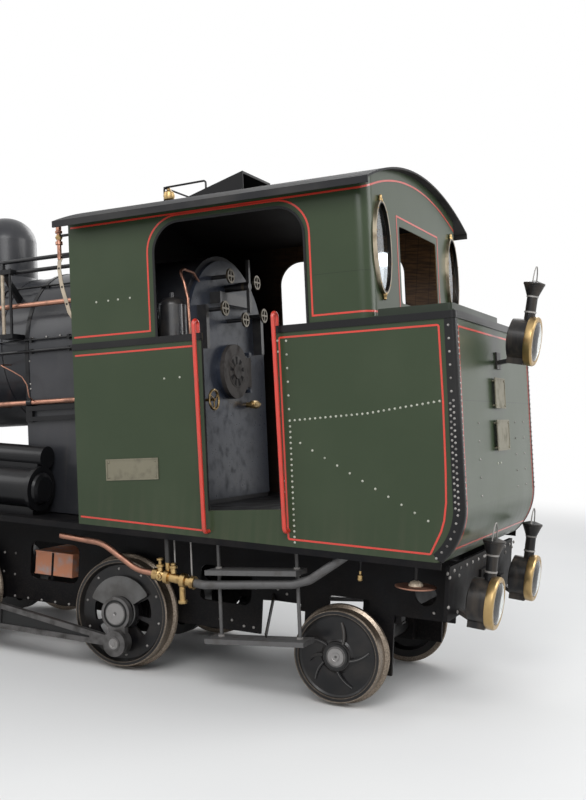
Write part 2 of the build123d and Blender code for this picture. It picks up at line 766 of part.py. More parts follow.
# Footplate with its edge angle
slot_half = 195.0
with BuildPart() as footplate_deck:
    for side in (1, -1):
        deck_long = front_beam_x - beam_thickness - cab_front_x
        with Locations((cab_front_x + deck_long / 2, side * (footplate_inner + body_half) / 2,
                        side_base_z - footplate / 2)):
            Box(deck_long, body_half - footplate_inner, footplate)
        angle_back = rear_beam_x + 10
        angle_front = front_beam_x - beam_thickness
        with Locations(((angle_back + angle_front) / 2, side * (body_half - edge_leg / 2),
                        side_base_z - edge_angle / 2)):
            Box(angle_front - angle_back, edge_leg, edge_angle)
        slot_y = side * (rocker_top_inner + rocker_top_outer) / 2
        with Locations((rocker_x, slot_y, side_base_z - footplate / 2)):
            Box(2 * slot_half, rocker_arm_thickness + 30, footplate * 3, mode=Mode.SUBTRACT)
save(footplate_deck, "footplate")

# Front beam with the central pushing buffer
buffer_tip_x = 3182.0
buffer_z = 860.0
buffer_reach = buffer_tip_x - front_beam_x
buffer_profile = (
    (-10, 0), (-10, 150), (22, 150), (22, 92), (150, 80), (150, 46), (buffer_reach - 42, 46),
    (buffer_reach - 34, 190), (buffer_reach - 10, 190), (buffer_reach, 120), (buffer_reach, 0),
)
with BuildPart() as front_beam:
    with Locations((front_beam_x - beam_thickness / 2, 0, (front_beam_bottom + side_base_z) / 2)):
        Box(beam_thickness, 2 * front_beam_half, side_base_z - front_beam_bottom)
    with BuildSketch(Plane(origin=(front_beam_x, 0, buffer_z), x_dir=(1, 0, 0), z_dir=(0, -1, 0))):
        with BuildLine():
            Polyline(buffer_profile, close=True)
        make_face()
    revolve(axis=Axis((front_beam_x, 0, buffer_z), (1, 0, 0)))

# Rear beam with a draw jaw and its upright pin hole
jaw_length = 120.0
jaw_hole_radius = 22.0
jaw_z = 830.0
jaw_plate = 18.0
jaw_hole_x = rear_beam_x - jaw_plate - jaw_length + 45
with BuildPart() as rear_beam:
    with Locations((rear_beam_x + beam_thickness / 2, 0, (rear_beam_bottom + side_base_z - edge_angle) / 2)):
        Box(beam_thickness, 2 * rear_beam_half, side_base_z - edge_angle - rear_beam_bottom)
    with Locations((rear_beam_x - jaw_plate / 2, 0, jaw_z)):
        Box(jaw_plate, 260, 200)
    for up in (1, -1):
        with Locations((rear_beam_x - jaw_plate - jaw_length / 2, 0, jaw_z + up * 50)):
            Box(jaw_length, 110, 26)
    with BuildSketch(Plane.XY.offset(jaw_z - 80)):
        with Locations((jaw_hole_x, 0)):
            Circle(jaw_hole_radius)
    extrude(amount=160, mode=Mode.SUBTRACT)
    add(front_beam.part)
save(rear_beam, "buffer_beams")

# Boiler: clothed barrel with bands, smokebox, firebox casing
with BuildPart() as barrel:
    with BuildSketch(raked_cross(barrel_back)):
        with Locations((0, boiler_axis_h)):
            Circle(barrel_radius)
    extrude(amount=barrel_back - barrel_front)
    for band_s in (barrel_back - 60, dome_s + 390, dome_s - 390, barrel_front + 40):
        with BuildSketch(raked_cross(band_s + band_width / 2)):
            with Locations((0, boiler_axis_h)):
                Circle(barrel_radius + band_proud)
                Circle(barrel_radius - 10, mode=Mode.SUBTRACT)
        extrude(amount=band_width)
save(barrel, "boiler_barrel")

# Smokebox with its saddle, the open throat behind the door and the hinge lugs
hinge_y = -(smokebox_door_radius + 36)
hinge_pin_radius = 14.0
strap_rise = 190.0
with BuildPart() as smokebox:
    with BuildSketch(raked_cross(barrel_front)):
        with Locations((0, boiler_axis_h)):
            Circle(smokebox_radius)
    extrude(amount=barrel_front - smokebox_front)
    saddle_s = (barrel_front + smokebox_front) / 2
    saddle_x = raked(saddle_s, boiler_axis_h - smokebox_radius + 60).X
    saddle_top = raked(saddle_s, boiler_axis_h - smokebox_radius + 90).Z
    with Locations((saddle_x, 0, (frame_top + saddle_top) / 2)):
        Box(460, 1060, saddle_top - frame_top)
    with BuildSketch(raked_cross(smokebox_front)):
        with Locations((0, boiler_axis_h)):
            Circle(smokebox_door_radius - 60)
    extrude(amount=-220, mode=Mode.SUBTRACT)
    for up in (1, -1):
        strap_h = boiler_axis_h + up * strap_rise
        for end in (1, -1):
            with BuildSketch(raked_deck(strap_h + end * 45 - 15, smokebox_front)):
                with Locations((16, hinge_y)):
                    Rectangle(80, 50)
            extrude(amount=30)
        with BuildSketch(raked_deck(strap_h - 60, smokebox_front - 30)):
            with Locations((0, hinge_y)):
                Circle(hinge_pin_radius)
        extrude(amount=120)

# Smokebox door: dished, with strap hinges on the right and a locking handle
door_gap = 1.0
door_origin = raked(smokebox_front - door_gap, boiler_axis_h)
with BuildPart() as smokebox_door:
    with BuildSketch(Plane(origin=door_origin, x_dir=-back_along, z_dir=(0, -1, 0))):
        with BuildLine():
            Line((0, 0), (0, smokebox_door_radius))
            Line((0, smokebox_door_radius), (22, smokebox_door_radius - 4))
            dish_middle = (smokebox_door_depth - 18, smokebox_door_radius * 0.55)
            ThreePointArc((22, smokebox_door_radius - 4), dish_middle, (smokebox_door_depth, 0))
            Line((smokebox_door_depth, 0), (0, 0))
        make_face()
    revolve(axis=Axis(door_origin, -back_along))
    for up in (1, -1):
        strap_h = boiler_axis_h + up * strap_rise
        with BuildSketch(raked_cross(smokebox_front - door_gap)):
            with Locations((hinge_y / 2 - 30, strap_h)):
                Rectangle(-hinge_y - 60, 54)
        extrude(amount=smokebox_door_depth + 6)
        with BuildSketch(raked_deck(strap_h - 27, smokebox_front - 30)):
            with Locations((0, hinge_y)):
                Circle(26)
            with Locations((0, hinge_y + 40)):
                Rectangle(52, 80)
        extrude(amount=54)
        with BuildSketch(raked_deck(strap_h - 27, smokebox_front - 30)):
            with Locations((0, hinge_y)):
                Circle(hinge_pin_radius + running_clearance)
        extrude(amount=54, mode=Mode.SUBTRACT)
    with BuildSketch(raked_cross(smokebox_front - smokebox_door_depth - door_gap + 4)):
        with Locations((0, boiler_axis_h)):
            Circle(34)
    extrude(amount=70)
    with BuildSketch(raked_cross(smokebox_front - smokebox_door_depth - door_gap - 46)):
        with Locations((0, boiler_axis_h)):
            with Locations((0, 0)):
                Circle(120)
                Circle(100, mode=Mode.SUBTRACT)
            Rectangle(210, 16)
            Rectangle(16, 210)
    extrude(amount=16)
save(smokebox_door, "smokebox_door")

# Chimney: flared foot, tapered pipe, rolled cap and an open bore
chimney_foot_radius = 330.0
chimney_waist_radius = 178.0
chimney_mouth_radius = 196.0
chimney_cap_radius = 252.0
chimney_bore_low = 150.0
chimney_bore_top = 170.0
chimney_bore_floor = 300.0
chimney_high = 925.0
chimney_foot_high = 260.0
with BuildPart() as chimney:
    base_h = boiler_axis_h + smokebox_radius - 110
    cap_h = base_h + chimney_high
    chimney_profile = (
        (0, base_h), (chimney_foot_radius, base_h), (chimney_foot_radius - 30, base_h + 90),
        (chimney_waist_radius + 27, base_h + 150), (chimney_waist_radius, base_h + chimney_foot_high),
        (chimney_mouth_radius, cap_h - 125), (chimney_cap_radius - 6, cap_h - 95),
        (chimney_cap_radius, cap_h - 25), (chimney_cap_radius - 26, cap_h), (chimney_bore_top, cap_h),
        (chimney_bore_low, base_h + chimney_bore_floor), (0, base_h + chimney_bore_floor),
    )
    with BuildSketch(raked_side()):
        with BuildLine():
            Polyline([(chimney_s + radius, h) for radius, h in chimney_profile], close=True)
        make_face()
    revolve(axis=Axis(raked(chimney_s, 0), square_up))
    with BuildSketch(raked_cross(smokebox_front - 100)):
        with Locations((0, boiler_axis_h)):
            Circle(smokebox_radius)
    extrude(amount=-1000, mode=Mode.SUBTRACT)
    add(smokebox.part)
save(chimney, "smokebox_and_chimney")

# Steam dome with its safety valves
with BuildPart() as dome:
    base_h = boiler_axis_h + barrel_radius - 130
    with BuildSketch(raked_side()):
        with BuildLine():
            Line((dome_s, base_h), (dome_s + dome_radius + 60, base_h))
            Line((dome_s + dome_radius + 60, base_h), (dome_s + dome_radius + 30, base_h + 110))
            Line((dome_s + dome_radius + 30, base_h + 110), (dome_s + dome_radius, base_h + 170))
            Line((dome_s + dome_radius, base_h + 170), (dome_s + dome_radius, base_h + 500))
            ThreePointArc((dome_s + dome_radius, base_h + 500), (dome_s + dome_radius * 0.74, base_h + 640),
                          (dome_s + dome_cap, base_h + 712))
            Line((dome_s + dome_cap, base_h + 712), (dome_s, base_h + 712))
            Line((dome_s, base_h + 712), (dome_s, base_h))
        make_face()
    revolve(axis=Axis(raked(dome_s, 0), square_up))
    with BuildSketch(raked_cross(barrel_back)):
        with Locations((0, boiler_axis_h)):
            Circle(barrel_radius)
    extrude(amount=barrel_back - barrel_front, mode=Mode.SUBTRACT)

# Safety valves on the firebox crown
valve_s = -330.0
valve_offset_y = 90.0
valve_profile = (
    (0, 0), (62, 0), (62, 24), (38, 40), (34, 190), (48, 206), (48, 236), (22, 250), (0, 250),
)
with BuildPart() as safety_valves:
    for valve_y in (-valve_offset_y, valve_offset_y):
        valve_origin = raked(valve_s, firebox_top - 22, valve_y)
        with BuildSketch(Plane(origin=valve_origin, x_dir=-back_along, z_dir=(0, -1, 0))):
            with BuildLine():
                Polyline(valve_profile, close=True)
            make_face()
        revolve(axis=Axis(valve_origin, square_up))
    with BuildSketch(raked_cross(-100)):
        with Locations((0, firebox_top - firebox_half)):
            Circle(firebox_half)
    extrude(amount=500, mode=Mode.SUBTRACT)
    add(dome.part)
save(safety_valves, "dome_and_safety_valves")

# Firebox casing
with BuildPart() as firebox:
    with BuildSketch(raked_cross(firebox_back)):
        with BuildLine():
            base_l = (-firebox_half, -400)
            base_r = (firebox_half, -400)
            Line(base_l, base_r)
            Line(base_r, (firebox_half, casing_arc_h))
            ThreePointArc((firebox_half, casing_arc_h), (0, firebox_top), (-firebox_half, casing_arc_h))
            Line((-firebox_half, casing_arc_h), base_l)
        make_face()
    extrude(amount=firebox_back - barrel_back)
    with Locations((0, 0, firebox_base_z - 500)):
        Box(6000, 3000, 1000, mode=Mode.SUBTRACT)
save(firebox, "firebox_casing")

# Ashpan between the frame plates, under the firebox
ashpan_rear_x = 30.0
ashpan_front_x = 390.0
ashpan_low_z = 570.0
ashpan_high = 380.0
ashpan_width = 620.0
grate_middle_x = 150.0
grate_length = 1150.0
grate_width = 860.0
grate_high = 150.0
with BuildPart() as ashpan:
    with Locations((grate_middle_x, 0, firebox_base_z - grate_high / 2)):
        Box(grate_length, grate_width, grate_high)
    with Locations(((ashpan_rear_x + ashpan_front_x) / 2, 0, ashpan_low_z + ashpan_high / 2)):
        Box(ashpan_front_x - ashpan_rear_x, ashpan_width, ashpan_high)
save(ashpan, "ashpan")

# Backhead plate with its flange ring and the fire door's hinge pin
backhead_plate = 30.0
backhead_inset = 40.0
door_s = firebox_back + backhead_plate + 26 + 1
fire_hinge_y = -fire_door_radius - 42
fire_hinge_s = door_s + 16
fire_hinge_radius = 10.0
with BuildPart() as backhead:
    with BuildSketch(raked_cross(firebox_back + backhead_plate)):
        with BuildLine():
            plate_half = firebox_half - backhead_inset
            plate_base = sill_height + 30
            Line((-plate_half, plate_base), (plate_half, plate_base))
            Line((plate_half, plate_base), (plate_half, casing_arc_h))
            plate_crown = (0, firebox_top - backhead_inset)
            ThreePointArc((plate_half, casing_arc_h), plate_crown, (-plate_half, casing_arc_h))
            Line((-plate_half, casing_arc_h), (-plate_half, plate_base))
        make_face()
        with Locations((0, fire_door_h)):
            Circle(fire_door_radius - 35, mode=Mode.SUBTRACT)
    extrude(amount=backhead_plate)
    with BuildSketch(raked_cross(firebox_back + backhead_plate + 26)):
        with Locations((0, fire_door_h)):
            Circle(fire_door_radius)
            Circle(fire_door_radius - 35, mode=Mode.SUBTRACT)
    extrude(amount=26)
    for up in (1, -1):
        with BuildSketch(raked_cross(fire_hinge_s + 18)):
            with Locations((fire_hinge_y, fire_door_h + up * 150)):
                Rectangle(44, 26)
        extrude(amount=fire_hinge_s + 18 - firebox_back - backhead_plate)
    with BuildSketch(raked_deck(fire_door_h - 163, fire_hinge_s)):
        with Locations((0, fire_hinge_y)):
            Circle(fire_hinge_radius)
    extrude(amount=326)
save(backhead, "backhead")

# Fire door with its star of air vents
vent_inner = fire_door_radius * 0.36
vent_outer = fire_door_radius * 0.78
with BuildPart() as fire_door:
    with BuildSketch(raked_cross(door_s + fire_door_depth)):
        with Locations((0, fire_door_h)):
            Circle(fire_door_radius)
        with Locations((0, fire_door_h)):
            with PolarLocations(0, 8):
                with BuildLine():
                    vent = ((vent_inner, -9), (vent_outer, -26), (vent_outer, 26), (vent_inner, 9))
                    Polyline(vent, close=True)
                make_face(mode=Mode.SUBTRACT)
    extrude(amount=fire_door_depth)
    with BuildSketch(raked_cross(door_s + fire_door_depth + 16)):
        with Locations((0, fire_door_h)):
            Circle(58)
    extrude(amount=18)
    with BuildSketch(raked_deck(fire_door_h - 120, fire_hinge_s)):
        with Locations((0, fire_hinge_y)):
            Circle(20)
        with Locations((0, fire_hinge_y + 50)):
            Rectangle(22, 100)
        with Locations((0, fire_hinge_y)):
            Circle(fire_hinge_radius + running_clearance, mode=Mode.SUBTRACT)
    extrude(amount=240)
save(fire_door, "fire_door")

# Backhead fittings: water gauges, regulator, steam turret and wheels
with BuildPart() as fittings:
    plate_s = firebox_back + backhead_plate
    with BuildSketch(raked_cross(plate_s + 90)):
        with Locations((0, 1660)):
            Rectangle(560, 90)
    extrude(amount=90)
    for wheel_y, wheel_h in ((-340, 1560), (0, 1500), (340, 1560), (-230, 1820), (230, 1820)):
        with BuildSketch(raked_cross(plate_s + 150)):
            with Locations((wheel_y, wheel_h)):
                Circle(16)
        extrude(amount=150)
        with BuildSketch(raked_cross(plate_s + 166)):
            with Locations((wheel_y, wheel_h)):
                Circle(58)
                Circle(44, mode=Mode.SUBTRACT)
                Rectangle(100, 14)
                Rectangle(14, 100)
        extrude(amount=16)
    for gauge_y in (-470, 470):
        with BuildSketch(raked_cross(plate_s + 76)):
            with Locations((gauge_y, 1420)):
                Rectangle(46, 330)
        extrude(amount=76)
    with BuildSketch(raked_cross(plate_s + 210)):
        with Locations((0, 1760)):
            Rectangle(30, 420)
    extrude(amount=26)
    with BuildSketch(raked_cross(plate_s + 210)):
        with Locations((0, 1760)):
            Circle(30)
    extrude(amount=210)

# Tall oil reservoir on the left of the firebox top
reservoir_s = 693.0
reservoir_y = 800.0
reservoir_base = 1240.0
reservoir_radius = 105.0
reservoir_high = 372.0
reservoir_plug = 37.0
with BuildPart() as reservoir:
    reservoir_plane = Plane(origin=raked(reservoir_s, reservoir_base, reservoir_y), x_dir=-back_along,
                            z_dir=(0, -1, 0))
    with BuildSketch(reservoir_plane):
        with BuildLine():
            shoulder = reservoir_high - reservoir_radius * 0.55
            top = reservoir_high + reservoir_plug
            Line((0, 0), (reservoir_radius, 0))
            Line((reservoir_radius, 0), (reservoir_radius, shoulder))
            ThreePointArc((reservoir_radius, shoulder), (reservoir_radius * 0.74, reservoir_high - 16),
                          (16, reservoir_high))
            Polyline((16, reservoir_high), (16, top), (0, top), (0, 0))
        make_face()
    revolve(axis=Axis(raked(reservoir_s, 0, reservoir_y), square_up))
    with BuildSketch(raked_side(firebox_half)):
        with Locations((reservoir_s, reservoir_base + 30)):
            Rectangle(60, 40)
    extrude(amount=60)
    add(fittings.part)
save(reservoir, "backhead_fittings")

# Cab sides: lower sheets with the doorway sill, and upper sheets with the arched window
roof_inner_h = roof_crown - roof_radius + math.sqrt((roof_radius - roof_sheet) ** 2 - body_half ** 2)
belt_middle = (belt_bottom + belt_top) / 2
with BuildPart() as cab_lower_sides:
    with BuildSketch(raked_side(body_half - panel)):
        with BuildLine():
            Polyline(
                (0, 0), (0, belt_middle), (door_front, belt_middle), (door_front, sill_height),
                (door_back, sill_height), (door_back, level_base(door_back)),
                close=True,
            )
        make_face()
    extrude(amount=panel)

side_flat = cab_length - cab_corner
with BuildPart() as cab_upper_sides:
    with BuildSketch(raked_side(body_half - panel)):
        with BuildLine():
            Polyline(
                (0, belt_middle), (0, roof_inner_h), (side_flat, roof_inner_h), (side_flat, belt_middle),
                close=True,
            )
        make_face()
        with BuildLine():
            spring_h = window_top - window_radius
            arc_front = window_front + window_radius
            arc_back = window_back - window_radius
            Polyline((window_back, spring_h), (window_back, belt_top), (door_back, belt_top),
                     (door_back, belt_middle), (door_front, belt_middle), (door_front, belt_top),
                     (window_front, belt_top), (window_front, spring_h))
            RadiusArc((window_front, spring_h), (arc_front, window_top), window_radius)
            Line((arc_front, window_top), (arc_back, window_top))
            RadiusArc((arc_back, window_top), (window_back, spring_h), window_radius)
        make_face(mode=Mode.SUBTRACT)
    extrude(amount=panel)
    add(cab_lower_sides.part)
    mirror(about=Plane.XZ)
save(cab_upper_sides, "cab_sides")


def roof_line(drop, y):
    """h of the roof arc, drop below its outer face, at a distance from the centre line."""
    return roof_crown - roof_radius + math.sqrt((roof_radius - drop) ** 2 - y ** 2)


# Cab front wall with two windows and the opening for the firebox
firebox_gap = 2.0
with BuildPart() as cab_front_wall:
    wall_half = body_half - panel
    with BuildSketch(raked_cross(panel)):
        with BuildLine():
            top_side = roof_line(roof_sheet, wall_half)
            Line((-wall_half, sill_height - floor_sheet), (wall_half, sill_height - floor_sheet))
            Line((wall_half, sill_height - floor_sheet), (wall_half, top_side))
            ThreePointArc((wall_half, top_side), (0, roof_crown - roof_sheet), (-wall_half, top_side))
            Line((-wall_half, top_side), (-wall_half, sill_height - floor_sheet))
        make_face()
        with BuildLine():
            half = firebox_half + firebox_gap
            Line((-half, -100), (half, -100))
            Line((half, -100), (half, casing_arc_h))
            ThreePointArc((half, casing_arc_h), (0, firebox_top + firebox_gap), (-half, casing_arc_h))
            Line((-half, casing_arc_h), (-half, -100))
        make_face(mode=Mode.SUBTRACT)
        with Locations((front_window_y, front_window_h), (-front_window_y, front_window_h)):
            RectangleRounded(2 * front_window_half, front_window_high, front_window_corner,
                             mode=Mode.SUBTRACT)
    extrude(amount=panel)

# Cab rear wall: flat with rounded corners, two oval windows and a square one
with BuildPart() as cab_rear_wall:
    with BuildSketch(raked_deck(belt_top)):
        with BuildLine():
            flat = body_half - cab_corner
            Polyline((-side_flat, -body_half), (-side_flat, -body_half + panel))
            ThreePointArc(
                (-side_flat, -body_half + panel),
                (-side_flat - (cab_corner - panel) * math.sin(math.pi / 4),
                 -flat - (cab_corner - panel) * math.cos(math.pi / 4)),
                (-cab_length + panel, -flat),
            )
            Line((-cab_length + panel, -flat), (-cab_length + panel, flat))
            ThreePointArc(
                (-cab_length + panel, flat),
                (-side_flat - (cab_corner - panel) * math.sin(math.pi / 4),
                 flat + (cab_corner - panel) * math.cos(math.pi / 4)),
                (-side_flat, body_half - panel),
            )
            Line((-side_flat, body_half - panel), (-side_flat, body_half))
            ThreePointArc(
                (-side_flat, body_half),
                (-side_flat - cab_corner * math.sin(math.pi / 4), flat + cab_corner * math.cos(math.pi / 4)),
                (-cab_length, flat),
            )
            Line((-cab_length, flat), (-cab_length, -flat))
            ThreePointArc(
                (-cab_length, -flat),
                (-side_flat - cab_corner * math.sin(math.pi / 4),
                 -flat - cab_corner * math.cos(math.pi / 4)),
                (-side_flat, -body_half),
            )
        make_face()
    extrude(amount=roof_crown - belt_top)
    with BuildSketch(raked_cross(cab_length + 50)):
        with BuildLine():
            cut_half = body_half + 40
            cut_side = roof_line(roof_sheet, cut_half)
            Line((-cut_half, roof_crown + 200), (cut_half, roof_crown + 200))
            Line((cut_half, roof_crown + 200), (cut_half, cut_side))
            ThreePointArc((cut_half, cut_side), (0, roof_crown - roof_sheet), (-cut_half, cut_side))
            Line((-cut_half, cut_side), (-cut_half, roof_crown + 200))
        make_face()
    extrude(amount=400, mode=Mode.SUBTRACT)
    with BuildSketch(raked_cross(cab_length + 50)):
        with Locations((oval_y, oval_h), (-oval_y, oval_h)):
            Ellipse(oval_half_width, oval_half_height)
        with Locations((0, (rear_window_bottom + rear_window_top) / 2)):
            RectangleRounded(2 * rear_window_half, rear_window_top - rear_window_bottom, 30)
    extrude(amount=400, mode=Mode.SUBTRACT)
    add(cab_front_wall.part)
save(cab_rear_wall, "cab_end_walls")

# Window rims and panes in the rear wall
with BuildPart() as oval_rims:
    with BuildSketch(raked_cross(cab_length + rim_proud)):
        with Locations((oval_y, oval_h), (-oval_y, oval_h)):
            Ellipse(oval_half_width + rim_width, oval_half_height + rim_width)
            Ellipse(oval_half_width - 6, oval_half_height - 6, mode=Mode.SUBTRACT)
    extrude(amount=rim_proud)
    with BuildSketch(raked_cross(0)):
        with Locations((front_window_y, front_window_h), (-front_window_y, front_window_h)):
            RectangleRounded(2 * (front_window_half + rim_width), front_window_high + 2 * rim_width,
                             front_window_corner + rim_width)
            RectangleRounded(2 * front_window_half - 12, front_window_high - 12, front_window_corner - 6,
                             mode=Mode.SUBTRACT)
    extrude(amount=rim_proud)
save(oval_rims, "window_rims")

with BuildPart() as window_glass:
    with BuildSketch(raked_cross(glass)):
        with Locations((front_window_y, front_window_h), (-front_window_y, front_window_h)):
            RectangleRounded(2 * front_window_half - 2, front_window_high - 2, front_window_corner - 1)
    extrude(amount=glass)
    with BuildSketch(raked_cross(cab_length)):
        with Locations((oval_y, oval_h), (-oval_y, oval_h)):
            Ellipse(oval_half_width - 1, oval_half_height - 1)
    extrude(amount=glass)
save(window_glass, "window_glass")

# Cab roof, floor and ventilator
with BuildPart() as cab_roof:
    with BuildSketch(raked_cross(roof_back)):
        with BuildLine():
            outer_side = roof_line(0, roof_half)
            inner_side = roof_line(roof_sheet, roof_half)
            ThreePointArc((-roof_half, outer_side), (0, roof_crown), (roof_half, outer_side))
            Line((roof_half, outer_side), (roof_half, inner_side))
            ThreePointArc((roof_half, inner_side), (0, roof_crown - roof_sheet), (-roof_half, inner_side))
            Line((-roof_half, inner_side), (-roof_half, outer_side))
        make_face()
    extrude(amount=roof_back - roof_front)
    for side in (1, -1):
        with BuildSketch(raked_cross(roof_back)):
            gutter_low = roof_line(roof_sheet, roof_half) - gutter_drop
            with Locations((side * (roof_half - gutter_thick / 2), gutter_low + gutter_high / 2)):
                Rectangle(gutter_thick, gutter_high)
        extrude(amount=roof_back - roof_front)
save(cab_roof, "cab_roof")

vent_front = 430.0
vent_back = 1040.0
vent_half = 250.0
vent_top = roof_crown + 185
with BuildPart() as roof_ventilator:
    with BuildSketch(raked_side(-vent_half)):
        with BuildLine():
            Polyline(
                (vent_front, roof_crown - 60), (vent_front, roof_crown + 12), (vent_back, vent_top),
                (vent_back, roof_crown - 60),
                close=True,
            )
        make_face()
    extrude(amount=2 * vent_half)
    with BuildSketch(raked_side(-vent_half + 10)):
        with BuildLine():
            Polyline(
                (vent_front + 160, roof_crown - 70), (vent_front + 160, roof_crown + 30),
                (vent_back + 10, vent_top - 16), (vent_back + 10, roof_crown - 70),
                close=True,
            )
        make_face()
    extrude(amount=2 * vent_half - 20, mode=Mode.SUBTRACT)
    with BuildSketch(raked_cross(vent_back + 20)):
        with BuildLine():
            cut_side = roof_line(0, 600)
            ThreePointArc((-600, cut_side), (0, roof_crown), (600, cut_side))
            Line((600, cut_side), (600, cut_side - 200))
            Line((600, cut_side - 200), (-600, cut_side - 200))
            Line((-600, cut_side - 200), (-600, cut_side))
        make_face()
    extrude(amount=vent_back - vent_front + 40, mode=Mode.SUBTRACT)
save(roof_ventilator, "roof_ventilator")

floor_half = body_half - panel
with BuildPart() as cab_floor:
    with BuildSketch(raked_deck(sill_height - floor_sheet)):
        with Locations((-(panel + tank_front) / 2, 0)):
            Rectangle(tank_front - panel, 2 * floor_half)
        well_back = firebox_back + backhead_plate + 32
        with Locations((-well_back / 2, 0)):
            Rectangle(well_back, 2 * (firebox_half + firebox_gap), mode=Mode.SUBTRACT)
    extrude(amount=floor_sheet)
save(cab_floor, "cab_floor")


def rounded_plan(back, half, radius, length):
    """Plan of the body for a raked deck: it ends at a station with rounded rear corners."""
    with BuildSketch() as shape:
        with Locations((length / 2 - back, 0)):
            RectangleRounded(length, 2 * half, radius)
    return shape.sketch


# Bunker: an outer shell round the water tank, open at the top and towards the cab
plan_length = 2200.0            # longer than the bunker, so that only its rear corners are rounded
tower = 2600.0                  # taller than the bunker
with BuildPart() as bunker_room:
    with BuildSketch(raked_side(-body_half + panel)):
        with BuildLine():
            Polyline(
                (door_back - 10, sill_height), (tank_front, sill_height), (tank_front, tank_top),
                (bunker_back - panel, tank_top), (bunker_back - panel, belt_top + 10),
                (door_back - 10, belt_top + 10),
                close=True,
            )
        make_face()
    extrude(amount=2 * (body_half - panel))
    with BuildSketch(raked_deck(-tower / 2)):
        add(rounded_plan(bunker_back - panel, body_half - panel, bunker_corner - panel, plan_length))
    extrude(amount=2 * tower, mode=Mode.INTERSECT)

with BuildPart() as bunker:
    with BuildSketch(raked_side(-body_half)):
        with BuildLine():
            Polyline(
                (bunker_toe_s, level_base(bunker_toe_s)), (door_back, level_base(door_back)),
                (door_back, belt_middle), (side_flat, belt_middle), (side_flat, belt_top),
                (bunker_back, belt_top), (bunker_back, bunker_knee_h),
            )
            toe = (bunker_toe_s, level_base(bunker_toe_s))
            ThreePointArc((bunker_back, bunker_knee_h), (bunker_back - 52, -128), toe)
        make_face()
    extrude(amount=2 * body_half)
    corner_edges = bunker.edges().filter_by(
        lambda edge: abs(abs((edge @ 0.5).Y) - body_half) < 1 and station(edge @ 0.5) > bunker_toe_s + 20
    )
    fillet(corner_edges, bunker_corner)
    add(bunker_room.part, mode=Mode.SUBTRACT)
    with BuildSketch(raked_side(-body_half + panel)):
        with BuildLine():
            Polyline(
                (door_back - 10, sill_height + 1), (tank_front, sill_height + 1), (tank_front, -400),
                (door_back - 10, -400),
                close=True,
            )
        make_face()
    extrude(amount=2 * (body_half - panel), mode=Mode.SUBTRACT)
    # ledge inside the belt, behind the cab's rear wall
    with BuildSketch(raked_deck(belt_top)):
        add(rounded_plan(bunker_back, body_half, bunker_corner, plan_length))
        with Locations((-cab_length - 4 + plan_length / 2, 0)):
            Rectangle(plan_length, 2 * body_half, mode=Mode.SUBTRACT)
        with Locations((-(cab_length + bunker_back) / 2 - 2, 0)):
            Rectangle(bunker_back - cab_length - 90, 2 * (body_half - coaming_inset) - panel,
                      mode=Mode.SUBTRACT)
    extrude(amount=panel)
    # coaming along the left side and across the rear, with a rounded corner
    with BuildSketch(raked_deck(belt_top)):
        coaming_half = body_half - coaming_inset + panel / 2
        add(rounded_plan(coaming_back + panel / 2, coaming_half, bunker_corner + panel, plan_length))
        add(rounded_plan(coaming_back - panel / 2, coaming_half - panel, bunker_corner, plan_length + panel),
            mode=Mode.SUBTRACT)
        with Locations((plan_length / 2 - coaming_front, 0)):
            Rectangle(plan_length, 2 * body_half, mode=Mode.SUBTRACT)
        with Locations((-coaming_back, (coaming_end_y - body_half) / 2)):
            Rectangle(plan_length, coaming_end_y + body_half, mode=Mode.SUBTRACT)
    extrude(amount=coaming_top - belt_top)
save(bunker, "bunker")

# Black belt round the body at the top of the lower sheets
with BuildPart() as belt:
    with BuildSketch(raked_deck(belt_bottom)):
        belt_length = bunker_back + 400
        belt_half = body_half + belt_proud
        add(rounded_plan(bunker_back + belt_proud, belt_half, bunker_corner + belt_proud, belt_length))
        add(rounded_plan(bunker_back, body_half, bunker_corner, belt_length), mode=Mode.SUBTRACT)
        with Locations((belt_length / 2, 0), (-(door_front + door_back) / 2, 0)):
            Rectangle(door_back - door_front, 2 * belt_half + 2, mode=Mode.SUBTRACT)
        with Locations((belt_length / 2, 0)):
            Rectangle(belt_length, 2 * belt_half + 2, mode=Mode.SUBTRACT)
    extrude(amount=belt_top - belt_bottom)
save(belt, "body_belt")

# Doorway handrails, hooked over the belt
rail_radius = 15.0
rail_reach = 62.0
with BuildPart() as handrails:
    for side in (1, -1):
        for rail_s in (door_front - 24, door_back + 32):
            with BuildLine() as rail_path:
                foot = raked(rail_s + 12, -62, side * body_half)
                corner_low = raked(rail_s + 12, -62, side * (body_half + rail_reach))
                corner_high = raked(rail_s - 6, belt_top + 84, side * (body_half + rail_reach))
                over = raked(rail_s - 6, belt_top + 84, side * (body_half + 4))
                landing = raked(rail_s - 6, belt_top, side * (body_half + 4))
                FilletPolyline(foot, corner_low, corner_high, over, landing, radius=28)
            with BuildSketch(Plane(origin=foot, z_dir=(0, side, 0))):
                Circle(rail_radius)
            sweep()
save(handrails, "cab_handrails")

